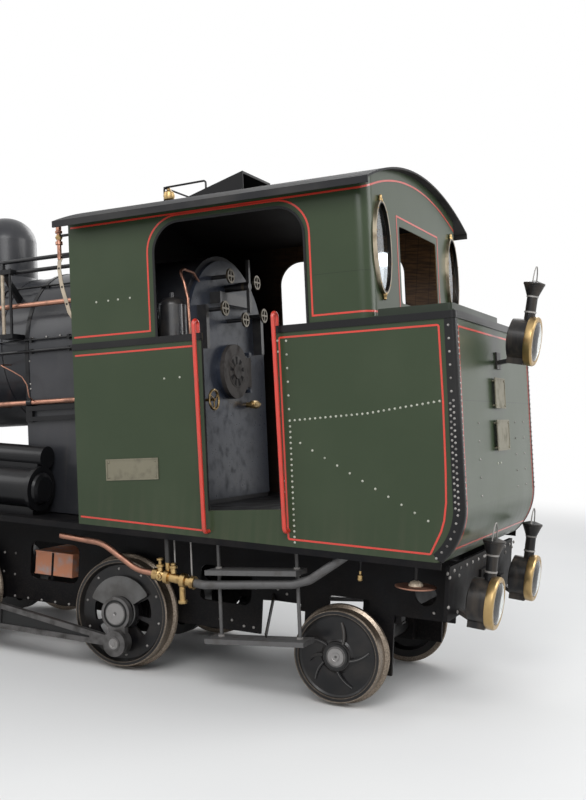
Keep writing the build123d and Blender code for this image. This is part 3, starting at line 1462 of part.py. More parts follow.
# Cab steps: two treads hung on rods below each doorway
# tread table: height square to the rake, front station, back station
treads = ((-350.0, 1010.0, 1700.0), (-820.0, 987.0, 1730.0))
tread_thick = 34.0
tread_inner = 860.0
tread_outer = 1050.0
hanger_y = 930.0
hanger_radius = 13.0
hangers = (door_front - 19, door_back + 32)
with BuildPart() as steps:
    for side in (1, -1):
        for tread_h, tread_front, tread_back in treads:
            with BuildSketch(raked_side(side * (tread_outer + tread_inner) / 2)):
                with Locations(((tread_front + tread_back) / 2, tread_h)):
                    Rectangle(tread_back - tread_front, tread_thick)
            extrude(amount=(tread_outer - tread_inner) / 2, both=True)
        for hanger_s in hangers:
            with BuildSketch(raked_deck(treads[1][0], hanger_s)):
                with Locations((0, side * hanger_y)):
                    Circle(hanger_radius)
            extrude(amount=sill_height - floor_sheet - treads[1][0])
    # the rear rods stop at the bunker's level underside
    with Locations((raked(hangers[1], 0).X, 0, side_base_z + 200)):
        Box(200, 2 * body_half, 400, mode=Mode.SUBTRACT)
save(steps, "cab_steps")

# Injectors under the cab with their delivery and suction pipes
injector_y = 1000.0
copper_radius = 22.0
suction_radius = 30.0
injector_start = (575.0, -366.0)
injector_end = (905.0, -428.0)
injector_length = 334.0
injector_dir = (raked(*injector_end) - raked(*injector_start)).normalized()
with BuildPart() as injectors:
    for side in (1, -1):
        start = raked(*injector_start, side * injector_y)
        with BuildSketch(Plane(origin=start, x_dir=injector_dir, z_dir=(0, -1, 0))):
            with BuildLine():
                Polyline(
                    (0, 0), (0, 44), (36, 44), (36, 30), (96, 30), (96, 52), (128, 52), (128, 34), (214, 34),
                    (226, 50), (262, 50), (270, 34), (304, 34), (304, 46), (injector_length, 46),
                    (injector_length, 0),
                    close=True,
                )
            make_face()
        revolve(axis=Axis(start, injector_dir))
        with BuildSketch(raked_deck(-560, 800)):
            with Locations((0, side * injector_y)):
                Circle(22)
        extrude(amount=150)
        with BuildSketch(raked_deck(-400, 690)):
            with Locations((0, side * injector_y)):
                Circle(18)
        extrude(amount=400 + sill_height - floor_sheet)
save(injectors, "injectors")

# Copper pipes: one to each injector, and two along each side of the boiler on clips
side_pipes = (1690.0, 920.0)
side_pipe_y = firebox_half + 26.0
side_pipe_radius = 20.0
clip_stations = (-260.0, -1100.0, -1990.0)
with BuildPart() as copper_pipes:
    for side in (1, -1):
        with BuildLine() as pipe_path:
            points = [raked(s, h, side * injector_y) for s, h in ((-215, -92), (150, -150))]
            points.append(raked(*injector_start, side * injector_y) - injector_dir * 145)
            points.append(raked(*injector_start, side * injector_y) - injector_dir * 0.5)
            FilletPolyline(*points, radius=300)
        with BuildSketch(Plane(origin=points[0], z_dir=points[1] - points[0])):
            Circle(copper_radius)
        sweep()
    for side in (1, -1):
        for pipe_h in side_pipes:
            for clip_s in clip_stations:
                with BuildSketch(raked_cross(clip_s)):
                    with Locations((side * (side_pipe_y / 2 + 200), pipe_h)):
                        Rectangle(side_pipe_y - 400, 30)
                extrude(amount=16)
    with BuildSketch(raked_cross(barrel_back)):
        with Locations((0, boiler_axis_h)):
            Circle(barrel_radius)
    extrude(amount=barrel_back - barrel_front, mode=Mode.SUBTRACT)
    with BuildSketch(raked_cross(0)):
        Rectangle(2 * firebox_half, 2 * casing_arc_h + 600)
        with Locations((0, casing_arc_h)):
            Circle(firebox_half)
    extrude(amount=-barrel_back, mode=Mode.SUBTRACT)
    for side in (1, -1):
        for pipe_h in side_pipes:
            with BuildSketch(raked_cross(0)):
                with Locations((side * side_pipe_y, pipe_h)):
                    Circle(side_pipe_radius)
            extrude(amount=2100)
save(copper_pipes, "copper_pipes")

# Steel suction pipes from the injectors to the tank's underside
suction_route = ((1653.0, -427.0), (1779.0, -396.0), (2200.0, -139.0))
bunker_underside_x = raked(suction_route[-1][0], 0).X
with BuildPart() as suction_pipes:
    for side in (1, -1):
        with BuildLine() as pipe_path:
            outlet = raked(*injector_start, side * injector_y) + injector_dir * injector_length
            points = [outlet, outlet + injector_dir * 70]
            points += [raked(s, h, side * injector_y) for s, h in suction_route]
            FilletPolyline(*points, radius=170)
        with BuildSketch(Plane(origin=points[0], z_dir=points[1] - points[0])):
            Circle(suction_radius)
        sweep()
    with Locations((bunker_underside_x, 0, side_base_z + 200)):
        Box(1200, 2 * body_half, 400, mode=Mode.SUBTRACT)
save(suction_pipes, "suction_pipes")

# Rails along the boiler on brackets, and the reversing rods below them
# rail table: distance from the centre line, height square to the rake
rails = ((690.0, 2052.0), (700.0, 1960.0))
rail_bar_radius = 16.0
reversing_rods = (790.0, 872.0)
bracket = ((676, 2052), (704, 2052), (714, 1950), (690, 1944), (470, 1700), (410, 1740), (672, 1985))
with BuildPart() as boiler_rails:
    for side in (1, -1):
        for post_s in (-180, -900, -1620, -2060):
            with BuildSketch(raked_cross(post_s)):
                with BuildLine():
                    Polyline([(side * y, h) for y, h in bracket], close=True)
                make_face()
            extrude(amount=24)
    with BuildSketch(raked_cross(barrel_back + 40)):
        with Locations((0, boiler_axis_h)):
            Circle(barrel_radius)
    extrude(amount=1500, mode=Mode.SUBTRACT)
    with BuildSketch(raked_cross(0)):
        with Locations((0, casing_arc_h)):
            Circle(firebox_half)
    extrude(amount=-barrel_back - 50, mode=Mode.SUBTRACT)
    for side in (1, -1):
        for rail_y, rail_h in rails:
            with BuildSketch(raked_cross(0)):
                with Locations((side * rail_y, rail_h)):
                    Circle(rail_bar_radius)
            extrude(amount=2100)
    # reversing rods beside the firebox casing, held by a plate at their front end
    for side in (1, -1):
        for rod_h in reversing_rods:
            with BuildSketch(raked_cross(0)):
                with Locations((side * (firebox_half + 30), rod_h)):
                    Rectangle(16, 36)
            extrude(amount=700)
        with BuildSketch(raked_side(side * (firebox_half + 15))):
            with Locations((-690, (reversing_rods[0] + reversing_rods[1]) / 2)):
                Rectangle(60, reversing_rods[1] - reversing_rods[0] + 48)
        extrude(amount=15, both=True)
save(boiler_rails, "boiler_rails_and_rods")

# Lamps: a drum with a lens ring, a chimney under a flared cap, and a box foot on an arm
lamp_drum_radius = 150.0
lamp_ring_radius = 168.0
lamp_ring_depth = 46.0
lamp_drum_depth = 118.0
lamp_back_step = 14.0
lamp_chimney_back = 60.0        # chimney axis behind the ring's outer face
lamp_pipe_radius = 38.0
lamp_cap_radius = 76.0
lamp_top = 424.0
lamp_foot_width = 150.0
lamp_foot_drop = 172.0          # underside of the box foot below the lamp's axis
lamp_arm_width = 60.0
lamp_arm_high = 30.0


def lamp(x, y, z, facing, droop, wall):
    """One lamp with its lens at x, facing 1 or -1, drooping by degrees, on an arm from a wall's x and z."""
    turn = math.radians(droop)
    ahead = Vector(facing * math.cos(turn), 0, -math.sin(turn))
    upright = Vector(facing * math.sin(turn), 0, math.cos(turn))
    axis_plane = Plane(origin=(x, y, z), x_dir=ahead, z_dir=(0, -facing, 0))
    drum_back = -lamp_ring_depth - lamp_drum_depth
    drum_profile = (
        (0, 0), (0, lamp_ring_radius), (-lamp_ring_depth, lamp_ring_radius),
        (-lamp_ring_depth - 4, lamp_drum_radius),
        (drum_back, lamp_drum_radius), (drum_back - lamp_back_step, lamp_drum_radius * 0.75),
        (drum_back - lamp_back_step, 0),
    )
    chimney_profile = (
        (0, 60), (lamp_pipe_radius, 60), (lamp_pipe_radius, lamp_top - 114),
        (lamp_pipe_radius + 6, lamp_top - 102), (lamp_cap_radius - 4, lamp_top - 32),
        (lamp_cap_radius, lamp_top - 28), (lamp_cap_radius, lamp_top - 16),
        (lamp_pipe_radius * 0.7, lamp_top), (0, lamp_top),
    )
    arm_low = z - lamp_foot_drop + 26
    back = Vector(x, y, z) + ahead * (drum_back + 20)
    with BuildPart() as body:
        with BuildSketch(axis_plane):
            with BuildLine():
                Polyline(drum_profile, close=True)
            make_face()
        revolve(axis=Axis((x, y, z), ahead))
        with BuildSketch(axis_plane):
            with BuildLine():
                Polyline([(a - lamp_chimney_back, b) for a, b in chimney_profile], close=True)
            make_face()
        revolve(axis=Axis(Vector(x, y, z) - ahead * lamp_chimney_back, upright))
        with BuildSketch(axis_plane):
            with Locations(((-lamp_ring_depth + drum_back) / 2, -(lamp_foot_drop + 110) / 2)):
                Rectangle(lamp_drum_depth, lamp_foot_drop - 110)
        extrude(amount=lamp_foot_width / 2, both=True)
        with BuildSketch(Plane(origin=(0, y, 0), x_dir=(1, 0, 0), z_dir=(0, -1, 0))):
            with BuildLine():
                Polyline(
                    (back.X, arm_low), (back.X, arm_low + lamp_arm_high),
                    (wall[0], wall[1] + lamp_arm_high), wall,
                    close=True,
                )
            make_face()
        extrude(amount=lamp_arm_width / 2, both=True)
    return body.part


rear_lamp_x = -3166.0
low_lamp_x = -3126.0
low_lamp_y = 610.0
low_lamp_z = 794.0
high_lamp_z = 2548.0
high_lamp_droop = 5.5
low_lamp_droop = 3.5
lamp_plate = 14.0
lamp_plate_size = 120.0
high_plate_h = 1035.0
front_lamp_reach = 240.0
front_lamp_y = 700.0
front_lamp_z = 1285.0
with BuildPart() as lamps:
    high_wall = (raked(bunker_back + lamp_plate / 2, high_plate_h).X, high_lamp_z - lamp_foot_drop)
    add(lamp(rear_lamp_x, 0, high_lamp_z, -1, high_lamp_droop, high_wall))
    with BuildSketch(raked_cross(bunker_back + lamp_plate)):
        with Locations((0, high_plate_h)):
            Rectangle(lamp_plate_size, lamp_plate_size)
    extrude(amount=lamp_plate)
    post_x = front_beam_x - beam_thickness / 2
    for side in (1, -1):
        low_wall = (rear_beam_x, rear_beam_bottom + 12)
        add(lamp(low_lamp_x, side * low_lamp_y, low_lamp_z, -1, low_lamp_droop, low_wall))
        post_top = front_lamp_z - lamp_foot_drop + lamp_arm_high
        front_wall = (post_x, post_top - lamp_arm_high)
        add(lamp(front_beam_x + front_lamp_reach, side * front_lamp_y, front_lamp_z, 1, 0, front_wall))
        post_high = post_top - side_base_z
        with Locations((post_x, side * front_lamp_y, side_base_z + post_high / 2)):
            Box(beam_thickness, lamp_arm_width * 1.6, post_high)
save(lamps, "lamps")
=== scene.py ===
import bmesh
import bpy
from math import atan2, cos, hypot, pi, radians, sin, sqrt, tan
from mathutils import Euler, Matrix, Vector


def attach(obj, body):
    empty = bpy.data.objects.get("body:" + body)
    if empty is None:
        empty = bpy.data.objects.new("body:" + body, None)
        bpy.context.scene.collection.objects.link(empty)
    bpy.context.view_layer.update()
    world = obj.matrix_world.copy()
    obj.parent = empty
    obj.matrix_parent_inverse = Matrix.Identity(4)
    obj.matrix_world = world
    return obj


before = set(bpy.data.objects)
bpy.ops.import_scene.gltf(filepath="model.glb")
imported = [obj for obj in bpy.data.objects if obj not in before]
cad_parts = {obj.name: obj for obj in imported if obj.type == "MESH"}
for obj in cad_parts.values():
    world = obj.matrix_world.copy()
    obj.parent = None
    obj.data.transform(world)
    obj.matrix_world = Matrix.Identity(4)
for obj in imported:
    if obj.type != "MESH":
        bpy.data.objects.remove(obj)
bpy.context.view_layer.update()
engine = "engine"
print("frame loaded:", len(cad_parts), "nodes")

# The cab, bunker and boiler lean back one in ten: s runs back along the floor line, h square to it, in metres
rake = {"angle": radians(5.71), "frontX": -0.1502, "baseZ": 1.0878}
rakeSin, rakeCos = sin(rake["angle"]), cos(rake["angle"])
backAlong = Vector((-rakeCos, 0, rakeSin))
squareUp = Vector((rakeSin, 0, rakeCos))
leftward = Vector((0, 1, 0))
upward = Vector((0, 0, 1))
rakedTurn = Matrix((backAlong, leftward, squareUp)).transposed()
# outer faces of the green sheets, and the rounded corners of the cab and the bunker in plan
sheets = {"sideY": 1.0715, "bunkerRearS": 2.873, "cabRearS": 2.333, "cabCornerS": 2.238, "cabCornerY": 0.9765,
          "cabCornerRadius": 0.095, "bunkerCornerS": 2.848, "bunkerCornerY": 1.0465,
          "bunkerCornerRadius": 0.025, "skin": 0.0035, "roofCentreH": -0.818, "roofRadius": 3.240,
          "archRadius": 3.170}


def raked(s, h, y=0.0):
    return Vector((rake["frontX"], y, rake["baseZ"])) + backAlong * s + squareUp * h


# Shader maths
def mathsNode(operation, swapped=False):  # a method that adds one maths node after a wire
    def method(wire, other=0.0):
        pair = [other, wire] if swapped else [wire, other]
        return wire.finish.node("ShaderNodeMath", {"operation": operation}, pair)
    return method


class Wire:  # a socket of a finish that takes part in sums and comparisons
    __add__ = __radd__ = mathsNode("ADD")
    __mul__ = __rmul__ = mathsNode("MULTIPLY")
    __sub__, __rsub__ = mathsNode("SUBTRACT"), mathsNode("SUBTRACT", True)
    __truediv__, __abs__ = mathsNode("DIVIDE"), mathsNode("ABSOLUTE")
    __gt__, __lt__ = mathsNode("GREATER_THAN"), mathsNode("LESS_THAN")
    over, under = mathsNode("MAXIMUM"), mathsNode("MINIMUM")
    wrap, root = mathsNode("PINGPONG"), mathsNode("SQRT")

    def __init__(self, finish, socket):
        self.finish, self.socket = finish, socket

    def fade(self, low, high):  # 0 below low, 1 above high
        return self.finish.node("ShaderNodeMapRange", {"interpolation_type": "SMOOTHSTEP"},
                                [self, low, high, 0.0, 1.0])

    def tint(self, low, high, first, second):  # first below low, second above high
        return self.finish.mix(self.fade(low, high), first, second)


class Finish:
    def __init__(self, name, **constants):
        self.material = bpy.data.materials.new(name)
        self.material.use_nodes = True
        self.tree = self.material.node_tree
        self.tree.nodes.clear()
        self.shader = self.tree.nodes.new("ShaderNodeBsdfPrincipled")
        self.output = self.tree.nodes.new("ShaderNodeOutputMaterial")
        self.tree.links.new(self.shader.outputs[0], self.output.inputs[0])
        self.place = self.node("ShaderNodeTexCoord", {}, [], "Object")
        self.x, self.y, self.z = (self.node("ShaderNodeSeparateXYZ", {}, [self.place], axis)
                                  for axis in "XYZ")
        self.feed(**constants)

    def node(self, kind, settings, values, output=0):
        made = self.tree.nodes.new(kind)
        for key, value in settings.items():
            setattr(made, key, value)
        pairs = values.items() if isinstance(values, dict) else enumerate(values)
        for key, value in pairs:
            self.join(value, made.inputs[key])
        return Wire(self, made.outputs[output])

    def join(self, value, socket):
        if isinstance(value, Wire):
            self.tree.links.new(value.socket, socket)
        else:
            socket.default_value = (*value, 1.0) if socket.type == "RGBA" else value

    def feed(self, **values):
        names = {"color": "Base Color", "roughness": "Roughness", "metallic": "Metallic",
                 "coat": "Coat Weight", "coatRoughness": "Coat Roughness", "normal": "Normal", "ior": "IOR",
                 "transmission": "Transmission Weight", "specular": "Specular IOR Level"}
        for key, value in values.items():
            self.join(value, self.shader.inputs[names[key]])
        return self

    def noise(self, scale, detail=3.0, stretch=(1, 1, 1)):
        place = self.place
        if stretch != (1, 1, 1):
            place = self.node("ShaderNodeMapping", {}, {"Vector": self.place, "Scale": stretch})
        return self.node("ShaderNodeTexNoise", {}, {"Vector": place, "Scale": scale, "Detail": detail})

    def mix(self, amount, first, second):
        return self.node("ShaderNodeMix", {"data_type": "RGBA"}, {0: amount, 6: first, 7: second}, 2)

    def bump(self, height, strength=0.08, distance=0.001):
        return self.node("ShaderNodeBump", {}, {"Strength": strength, "Distance": distance, "Height": height})

    def reach(self, axleX, axleZ):  # distance from an axle
        across, rise = self.x - axleX, self.z - axleZ
        return (across * across + rise * rise).root()

    def cornerReach(self, cornerS, cornerY):  # distance from a rounded corner's centre, seen in plan
        back, side = (self.rakedS() - cornerS).over(0.0), (abs(self.y) - cornerY).over(0.0)
        return (back * back + side * side).root()

    def rakedS(self):
        return (self.z - rake["baseZ"]) * rakeSin - (self.x - rake["frontX"]) * rakeCos

    def rakedH(self):
        return (self.z - rake["baseZ"]) * rakeCos + (self.x - rake["frontX"]) * rakeSin


# Finishes
paintTones = {"green": (0.032, 0.048, 0.024), "greenWorn": (0.044, 0.060, 0.033),
              "road": (0.12, 0.095, 0.072), "black": (0.006, 0.006, 0.007),
              "blackWorn": (0.022, 0.021, 0.020), "red": (0.58, 0.038, 0.022)}
paintGloss = {"specular": 0.22, "coat": 0.10, "coatRoughness": 0.12}


def glossPaint(finish, tone, worn, dustTop=1.6):
    cloud = finish.noise(1.7, 4.0)
    streak = finish.noise(3.0, 3.0, (6, 6, 0.35))
    color = finish.mix((cloud.fade(0.42, 0.75) * 0.45).under(1.0), tone, worn)
    low = 1.0 - finish.z.fade(0.55, dustTop)
    dust = (low * streak.fade(0.35, 0.75) * 0.35).under(1.0)
    color = finish.mix(dust, color, paintTones["road"])
    finish.feed(roughness=0.24 + cloud * 0.14 + dust * 0.5, coat=paintGloss["coat"] - dust * 0.09,
                coatRoughness=paintGloss["coatRoughness"], specular=paintGloss["specular"])
    finish.feed(normal=finish.bump(finish.noise(38.0, 2.0) + finish.noise(5.0, 1.0) * 2.0, 0.05, 0.004))
    return color


def woodPanels(finish):  # near black towards the front of the cab, plain wood at the rear
    grain = finish.noise(9.0, 5.0, (1.0, 1.0, 9.0))
    plank = ((finish.x + finish.y) * 9.0).wrap(0.5)
    seam = 1.0 - plank.fade(0.0, 0.04)
    color = grain.tint(0.3, 0.75, (0.085, 0.042, 0.018), (0.24, 0.120, 0.048))
    color = finish.mix(seam * 0.7, color, (0.020, 0.012, 0.007))
    return finish.mix(finish.rakedS().fade(0.35, 1.75), (0.012, 0.010, 0.010), color)


def cabGreen():
    finish = Finish("cab green")
    color = glossPaint(finish, paintTones["green"], paintTones["greenWorn"])
    s, h = finish.rakedS(), finish.rakedH()
    edge = finish.cornerReach(sheets["cabCornerS"], sheets["cabCornerY"])
    inside = (edge < sheets["cabCornerRadius"] - sheets["skin"]) * (s > 0.004)
    seam = (1.0 - abs(h - 1.62).fade(0.0, 0.003)) * (s > 1.93)  # one sheet joint on the rear quarter
    return finish.feed(color=finish.mix(inside, finish.mix(seam * 0.6, color, paintTones["black"]),
                                        woodPanels(finish))).material


def bunkerGreen():
    finish = Finish("bunker green")
    color = glossPaint(finish, paintTones["green"], paintTones["greenWorn"])
    s, h = finish.rakedS(), finish.rakedH()
    edge = finish.cornerReach(sheets["bunkerCornerS"], sheets["bunkerCornerY"])
    outside = (edge > sheets["bunkerCornerRadius"] - sheets["skin"]).over(h > 1.30)
    outside = outside.over((h < 0.07) * (s > 2.69))
    soot = finish.mix(finish.noise(14.0, 5.0).fade(0.3, 0.7), (0.012, 0.011, 0.010), (0.045, 0.036, 0.030))
    seam = (1.0 - abs(h - 0.743).fade(0.0, 0.004)) * (s > 2.869)
    coaming = finish.mix(h > 1.262, finish.mix(seam * 0.8, color, paintTones["black"]), (0.022, 0.030, 0.020))
    return finish.feed(color=finish.mix(outside, soot, coaming)).material


def blackGloss(name, tone=None, worn=None, dustTop=1.2):
    finish = Finish(name)
    color = glossPaint(finish, tone or paintTones["black"], worn or paintTones["blackWorn"], dustTop)
    return finish.feed(color=color).material


def frameBlack(name, oil=0.06, dustLow=0.15, dustHigh=1.1):
    finish = Finish(name)
    grime, speck = finish.noise(6.0, 6.0), finish.noise(70.0)
    color = grime.tint(0.35, 0.7, (0.003, 0.003, 0.004), (0.010, 0.009, 0.009))
    dust = (1.0 - finish.z.fade(dustLow, dustHigh)) * speck.fade(0.35, 0.8) * 0.14
    return finish.feed(color=finish.mix(dust, color, (0.085, 0.066, 0.050)),
                       roughness=0.38 + grime * 0.3 + dust * 0.4, coat=(1.0 - grime.fade(0.3, 0.6)) * oil,
                       coatRoughness=0.3, specular=0.11,
                       normal=finish.bump(speck + grime * 3.0, 0.18, 0.003)).material


def metal(name, tone, worn, roughness=0.3, grain=60.0, tarnish=0.5, metallic=1.0, bumpStrength=0.08):
    finish = Finish(name)
    cloud, fine = finish.noise(12.0, 5.0), finish.noise(grain)
    spots = cloud.fade(0.45, 0.75) * tarnish
    return finish.feed(color=finish.mix(spots, tone, worn),
                       metallic=metallic * (1.0 - spots * 0.35) if metallic else 0.0,
                       roughness=roughness + spots * 0.35 + fine * 0.1,
                       normal=finish.bump(fine, bumpStrength)).material


def boilerSheet():
    finish = Finish("boiler cladding")
    cloud, fine = finish.noise(2.2, 4.0), finish.noise(45.0, 2.0)
    streak = finish.noise(4.0, 3.0, (5, 5, 0.5))
    color = cloud.tint(0.35, 0.7, (0.018, 0.019, 0.023), (0.034, 0.034, 0.038))
    color = finish.mix(streak.fade(0.55, 0.85) * 0.30, color, (0.060, 0.054, 0.048))
    return finish.feed(color=color, roughness=0.27 + cloud * 0.2, coat=0.15, coatRoughness=0.15,
                       specular=0.35, normal=finish.bump(fine + cloud * 6.0, 0.06, 0.004)).material


def roofPaint():
    finish = Finish("roof covering")
    s, h = finish.rakedS(), finish.rakedH()
    rise = h - sheets["roofCentreH"]
    radius = (rise * rise + finish.y * finish.y).root()
    under = (radius < sheets["roofRadius"]) * (abs(finish.y) < 1.062) * (s > 0.008) * (s < 2.326)
    grime, speck = finish.noise(2.5, 6.0), finish.noise(160.0, 2.0)
    top = grime.tint(0.35, 0.75, (0.011, 0.011, 0.013), (0.034, 0.033, 0.032))
    return finish.feed(color=finish.mix(under, top, (0.012, 0.009, 0.008)), roughness=0.52 + grime * 0.3,
                       specular=0.25, normal=finish.bump(speck + grime * 3.0, 0.12, 0.002)).material


def wheelFinish(name, axleX, axleZ, tread, rim, hub):
    finish = Finish(name)
    radius = finish.reach(axleX, axleZ)
    grime, speck = finish.noise(8.0, 6.0), finish.noise(90.0)
    black = grime.tint(0.3, 0.75, (0.004, 0.004, 0.005), (0.016, 0.014, 0.013))
    ground = grime.tint(0.3, 0.75, (0.120, 0.118, 0.116), (0.070, 0.066, 0.062))
    rolledSteelAndHighlight = speck.tint(0.3, 0.7, (0.17, 0.135, 0.105), (0.30, 0.25, 0.20))
    # the running face and the flange, and a painted highlight line along the tyre's outer corner
    bright = radius.fade(tread - 0.012, tread - 0.007)
    # painted highlight: a thin pale ring at the rim radius on the outer face stands in for the light caught
    # by the tyre's edge
    line = (1.0 - abs(radius - rim).fade(0.002, 0.006)) * (abs(finish.y) > 0.809) * 0.45
    weight = radius < 0.0
    if tread > 0.35:
        weight = (abs(finish.y) > 0.801) * (radius < rim - 0.06) * (radius > hub - 0.002)
    treadAndHighlight = bright.over(line)
    painted = finish.mix(weight, black, ground)
    return finish.feed(color=finish.mix(treadAndHighlight, painted, rolledSteelAndHighlight), metallic=treadAndHighlight * 0.85,
                       roughness=0.26 + grime * 0.16 + weight * 0.10, coat=(1.0 - treadAndHighlight) * 0.20,
                       coatRoughness=0.15, specular=0.28,
                       normal=finish.bump(speck + grime * 2.0, 0.06, 0.002)).material


def nickelRim():  # worn plating on the face, a dark inner edge
    finish = Finish("window rim plating")
    cloud, fine = finish.noise(12.0, 5.0), finish.noise(60.0)
    s, h = finish.rakedS(), finish.rakedH()
    across, rise = (abs(finish.y) - 0.850) / 0.1405, (h - 1.790) / 0.3005
    inner = (across * across + rise * rise < 1.015) * (s > 2.2)
    worn = cloud.tint(0.45, 0.75, (0.42, 0.36, 0.27), (0.20, 0.16, 0.11))
    return finish.feed(color=finish.mix(inner, worn, (0.02, 0.018, 0.016)), metallic=1.0,
                       roughness=0.28 + fine * 0.12, normal=finish.bump(fine)).material


def backheadMetal():  # dark castings, the handwheels a little brighter
    finish = Finish("backhead iron")
    cloud, fine = finish.noise(14.0, 5.0), finish.noise(70.0)
    s = finish.rakedS()
    wheel = (1.0 - abs(s - 0.888).fade(0.010, 0.014)) * (abs(finish.y) < 0.45)
    iron = cloud.tint(0.4, 0.75, (0.016, 0.016, 0.018), (0.034, 0.031, 0.029))
    return finish.feed(color=finish.mix(wheel, iron, (0.16, 0.135, 0.095)), metallic=wheel * 0.8,
                       specular=0.5, roughness=0.22 + fine * 0.12 + cloud * 0.1, coat=0.4,
                       normal=finish.bump(fine)).material


def crankSteel(name, axleX, axleZ):  # ground crank web and hub, black paint down in the groove round the cap
    finish = Finish(name)
    radius = finish.reach(axleX, axleZ)
    cloud, fine = finish.noise(11.0, 5.0), finish.noise(80.0)
    groove = (1.0 - abs(radius - 0.0925).fade(0.006, 0.0095)) * (abs(finish.y) > 0.84)
    web = (abs(finish.y) > 0.826).over(radius < 0.070)
    tone = cloud.tint(0.4, 0.75, (0.135, 0.130, 0.128), (0.062, 0.057, 0.053))
    tone = finish.mix(web, (0.010, 0.010, 0.010), tone)
    return finish.feed(color=finish.mix(groove, tone, (0.004, 0.004, 0.004)),
                       metallic=web * 0.6 * (1.0 - groove), roughness=0.30 + cloud * 0.15, specular=0.4,
                       normal=finish.bump(fine)).material


def rodSheet():  # coupling rods: oiled flanges, the sunk webs near black as painted shade in the recess
    finish = Finish("coupling rod steel")
    cloud, fine = finish.noise(10.0, 5.0), finish.noise(55.0)
    level, face = abs(finish.y), finish.node("ShaderNodeNewGeometry", {}, [], "True Normal")
    flat = abs(finish.node("ShaderNodeSeparateXYZ", {}, [face], "Y")) > 0.8
    # painted shade: the sunk web faces between the flanges are coloured near black for the shade in the
    # recess
    web = (level < 0.9195) * (level > 0.8965) * flat
    tone = cloud.tint(0.4, 0.75, (0.125, 0.120, 0.118), (0.045, 0.042, 0.040))
    return finish.feed(color=finish.mix(web, tone, (0.006, 0.006, 0.006)), metallic=(1.0 - web) * 0.7,
                       specular=0.4, roughness=0.30 + cloud * 0.16, normal=finish.bump(fine)).material


def injectorBrass():  # a brass body, its stem up to the footplate dark steel
    finish = Finish("injector brass")
    cloud, fine = finish.noise(16.0, 5.0), finish.noise(70.0)
    stem = finish.z.fade(0.868, 0.872)
    brassy = cloud.tint(0.42, 0.72, (0.50, 0.34, 0.15), (0.20, 0.125, 0.055))
    return finish.feed(color=finish.mix(stem, brassy, (0.030, 0.029, 0.028)), metallic=1.0 - stem * 0.7,
                       roughness=0.24 + fine * 0.12 + stem * 0.2,
                       normal=finish.bump(fine + cloud, 0.12, 0.001)).material


def emberFace():  # the ashpan: black, its side under the frame's cut-out scorched to rust
    finish = Finish("scorched ashpan")
    grime, flake = finish.noise(9.0, 6.0), finish.noise(26.0, 4.0)
    scorched = (abs(finish.y) > 0.29) * (finish.z < 0.96) * flake.fade(0.26, 0.40)
    rust = flake.tint(0.45, 0.75, (0.34, 0.105, 0.040), (0.16, 0.115, 0.110))
    return finish.feed(color=finish.mix(scorched,
                                        finish.mix(grime, (0.006, 0.006, 0.006), (0.030, 0.025, 0.021)),
                                        rust), roughness=0.75, specular=0.2,
                       normal=finish.bump(flake + grime * 2.0, 0.3, 0.003)).material


def paneGlass(name, tint):
    finish = Finish(name, transmission=1.0, ior=1.46, color=tint)
    return finish.feed(roughness=0.03 + finish.noise(7.0, 4.0).fade(0.5, 0.8) * 0.05).material


green, bunkerPaint = cabGreen(), bunkerGreen()
beltBlack = blackGloss("belt black")
smokeBlack = frameBlack("smokebox black", 0.15, -1.0, -0.5)
boiler = boilerSheet()
roofBlack = roofPaint()
underBlack = frameBlack("frame black")
lampBlack = blackGloss("lamp black", (0.010, 0.010, 0.011), (0.030, 0.028, 0.027), 0.4)
red = Finish("lining red")
redCloud = red.noise(9.0, 4.0)
red.feed(color=redCloud.tint(0.4, 0.8, paintTones["red"], (0.46, 0.045, 0.026)),
         roughness=0.24 + redCloud * 0.15, coat=0.4, coatRoughness=0.1)
red = red.material
brass = metal("worn brass", (0.46, 0.32, 0.145), (0.20, 0.135, 0.065), 0.26)
copper = metal("pipe copper", (0.40, 0.205, 0.145), (0.150, 0.082, 0.060), 0.32, 60.0, 0.8)
castGrey = metal("scaled cast iron", (0.070, 0.062, 0.058), (0.032, 0.028, 0.026), 0.55, 120.0, 0.8, 0.2,
                 0.25)
sheetBlue = metal("backhead lagging", (0.034, 0.042, 0.062), (0.022, 0.024, 0.030), 0.24, 60.0, 0.5, 0.0)
creamBar = metal("worn cream bar", (0.44, 0.37, 0.28), (0.22, 0.17, 0.13), 0.42, 90.0, 0.6, 0.3)
emberIron = metal("scorched iron", (0.60, 0.25, 0.14), (0.42, 0.36, 0.35), 0.70, 40.0, 1.0, 0.0, 0.3)
steel = metal("bright steel", (0.30, 0.29, 0.285), (0.12, 0.11, 0.10), 0.27)
rodSteel = metal("oiled rod steel", (0.105, 0.102, 0.100), (0.045, 0.042, 0.039), 0.32, 50.0, 0.6, 0.7)
darkSteel = metal("grey pipe steel", (0.105, 0.103, 0.103), (0.060, 0.052, 0.046), 0.46, 90.0, 0.6, 0.4)
castBlack = frameBlack("cast iron black", 0.2, 0.2, 0.9)
plateMetal = metal("blank nameplate metal", (0.19, 0.175, 0.125), (0.10, 0.092, 0.066), 0.40, 120.0, 0.7, 0.5)
# rivet heads: pale grey-green, partly bare worn tops and partly a painted highlight on each head
rivetWornAndHighlight = metal("rivet heads", (0.42, 0.43, 0.36), (0.15, 0.17, 0.12), 0.34, 300.0, 0.7, 0.0)
rivetDark = metal("bolt heads", (0.30, 0.285, 0.27), (0.060, 0.056, 0.052), 0.40, 80.0, 0.8, 0.3)
pane = paneGlass("window pane", (0.80, 0.87, 0.92))
lens = paneGlass("lamp lens", (0.93, 0.96, 0.95))
mirror = metal("lamp reflector", (0.80, 0.80, 0.78), (0.5, 0.5, 0.48), 0.12, 30.0, 0.3)


def dress(material, *names):
    for name in names:
        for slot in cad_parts[name].material_slots:
            slot.material = material


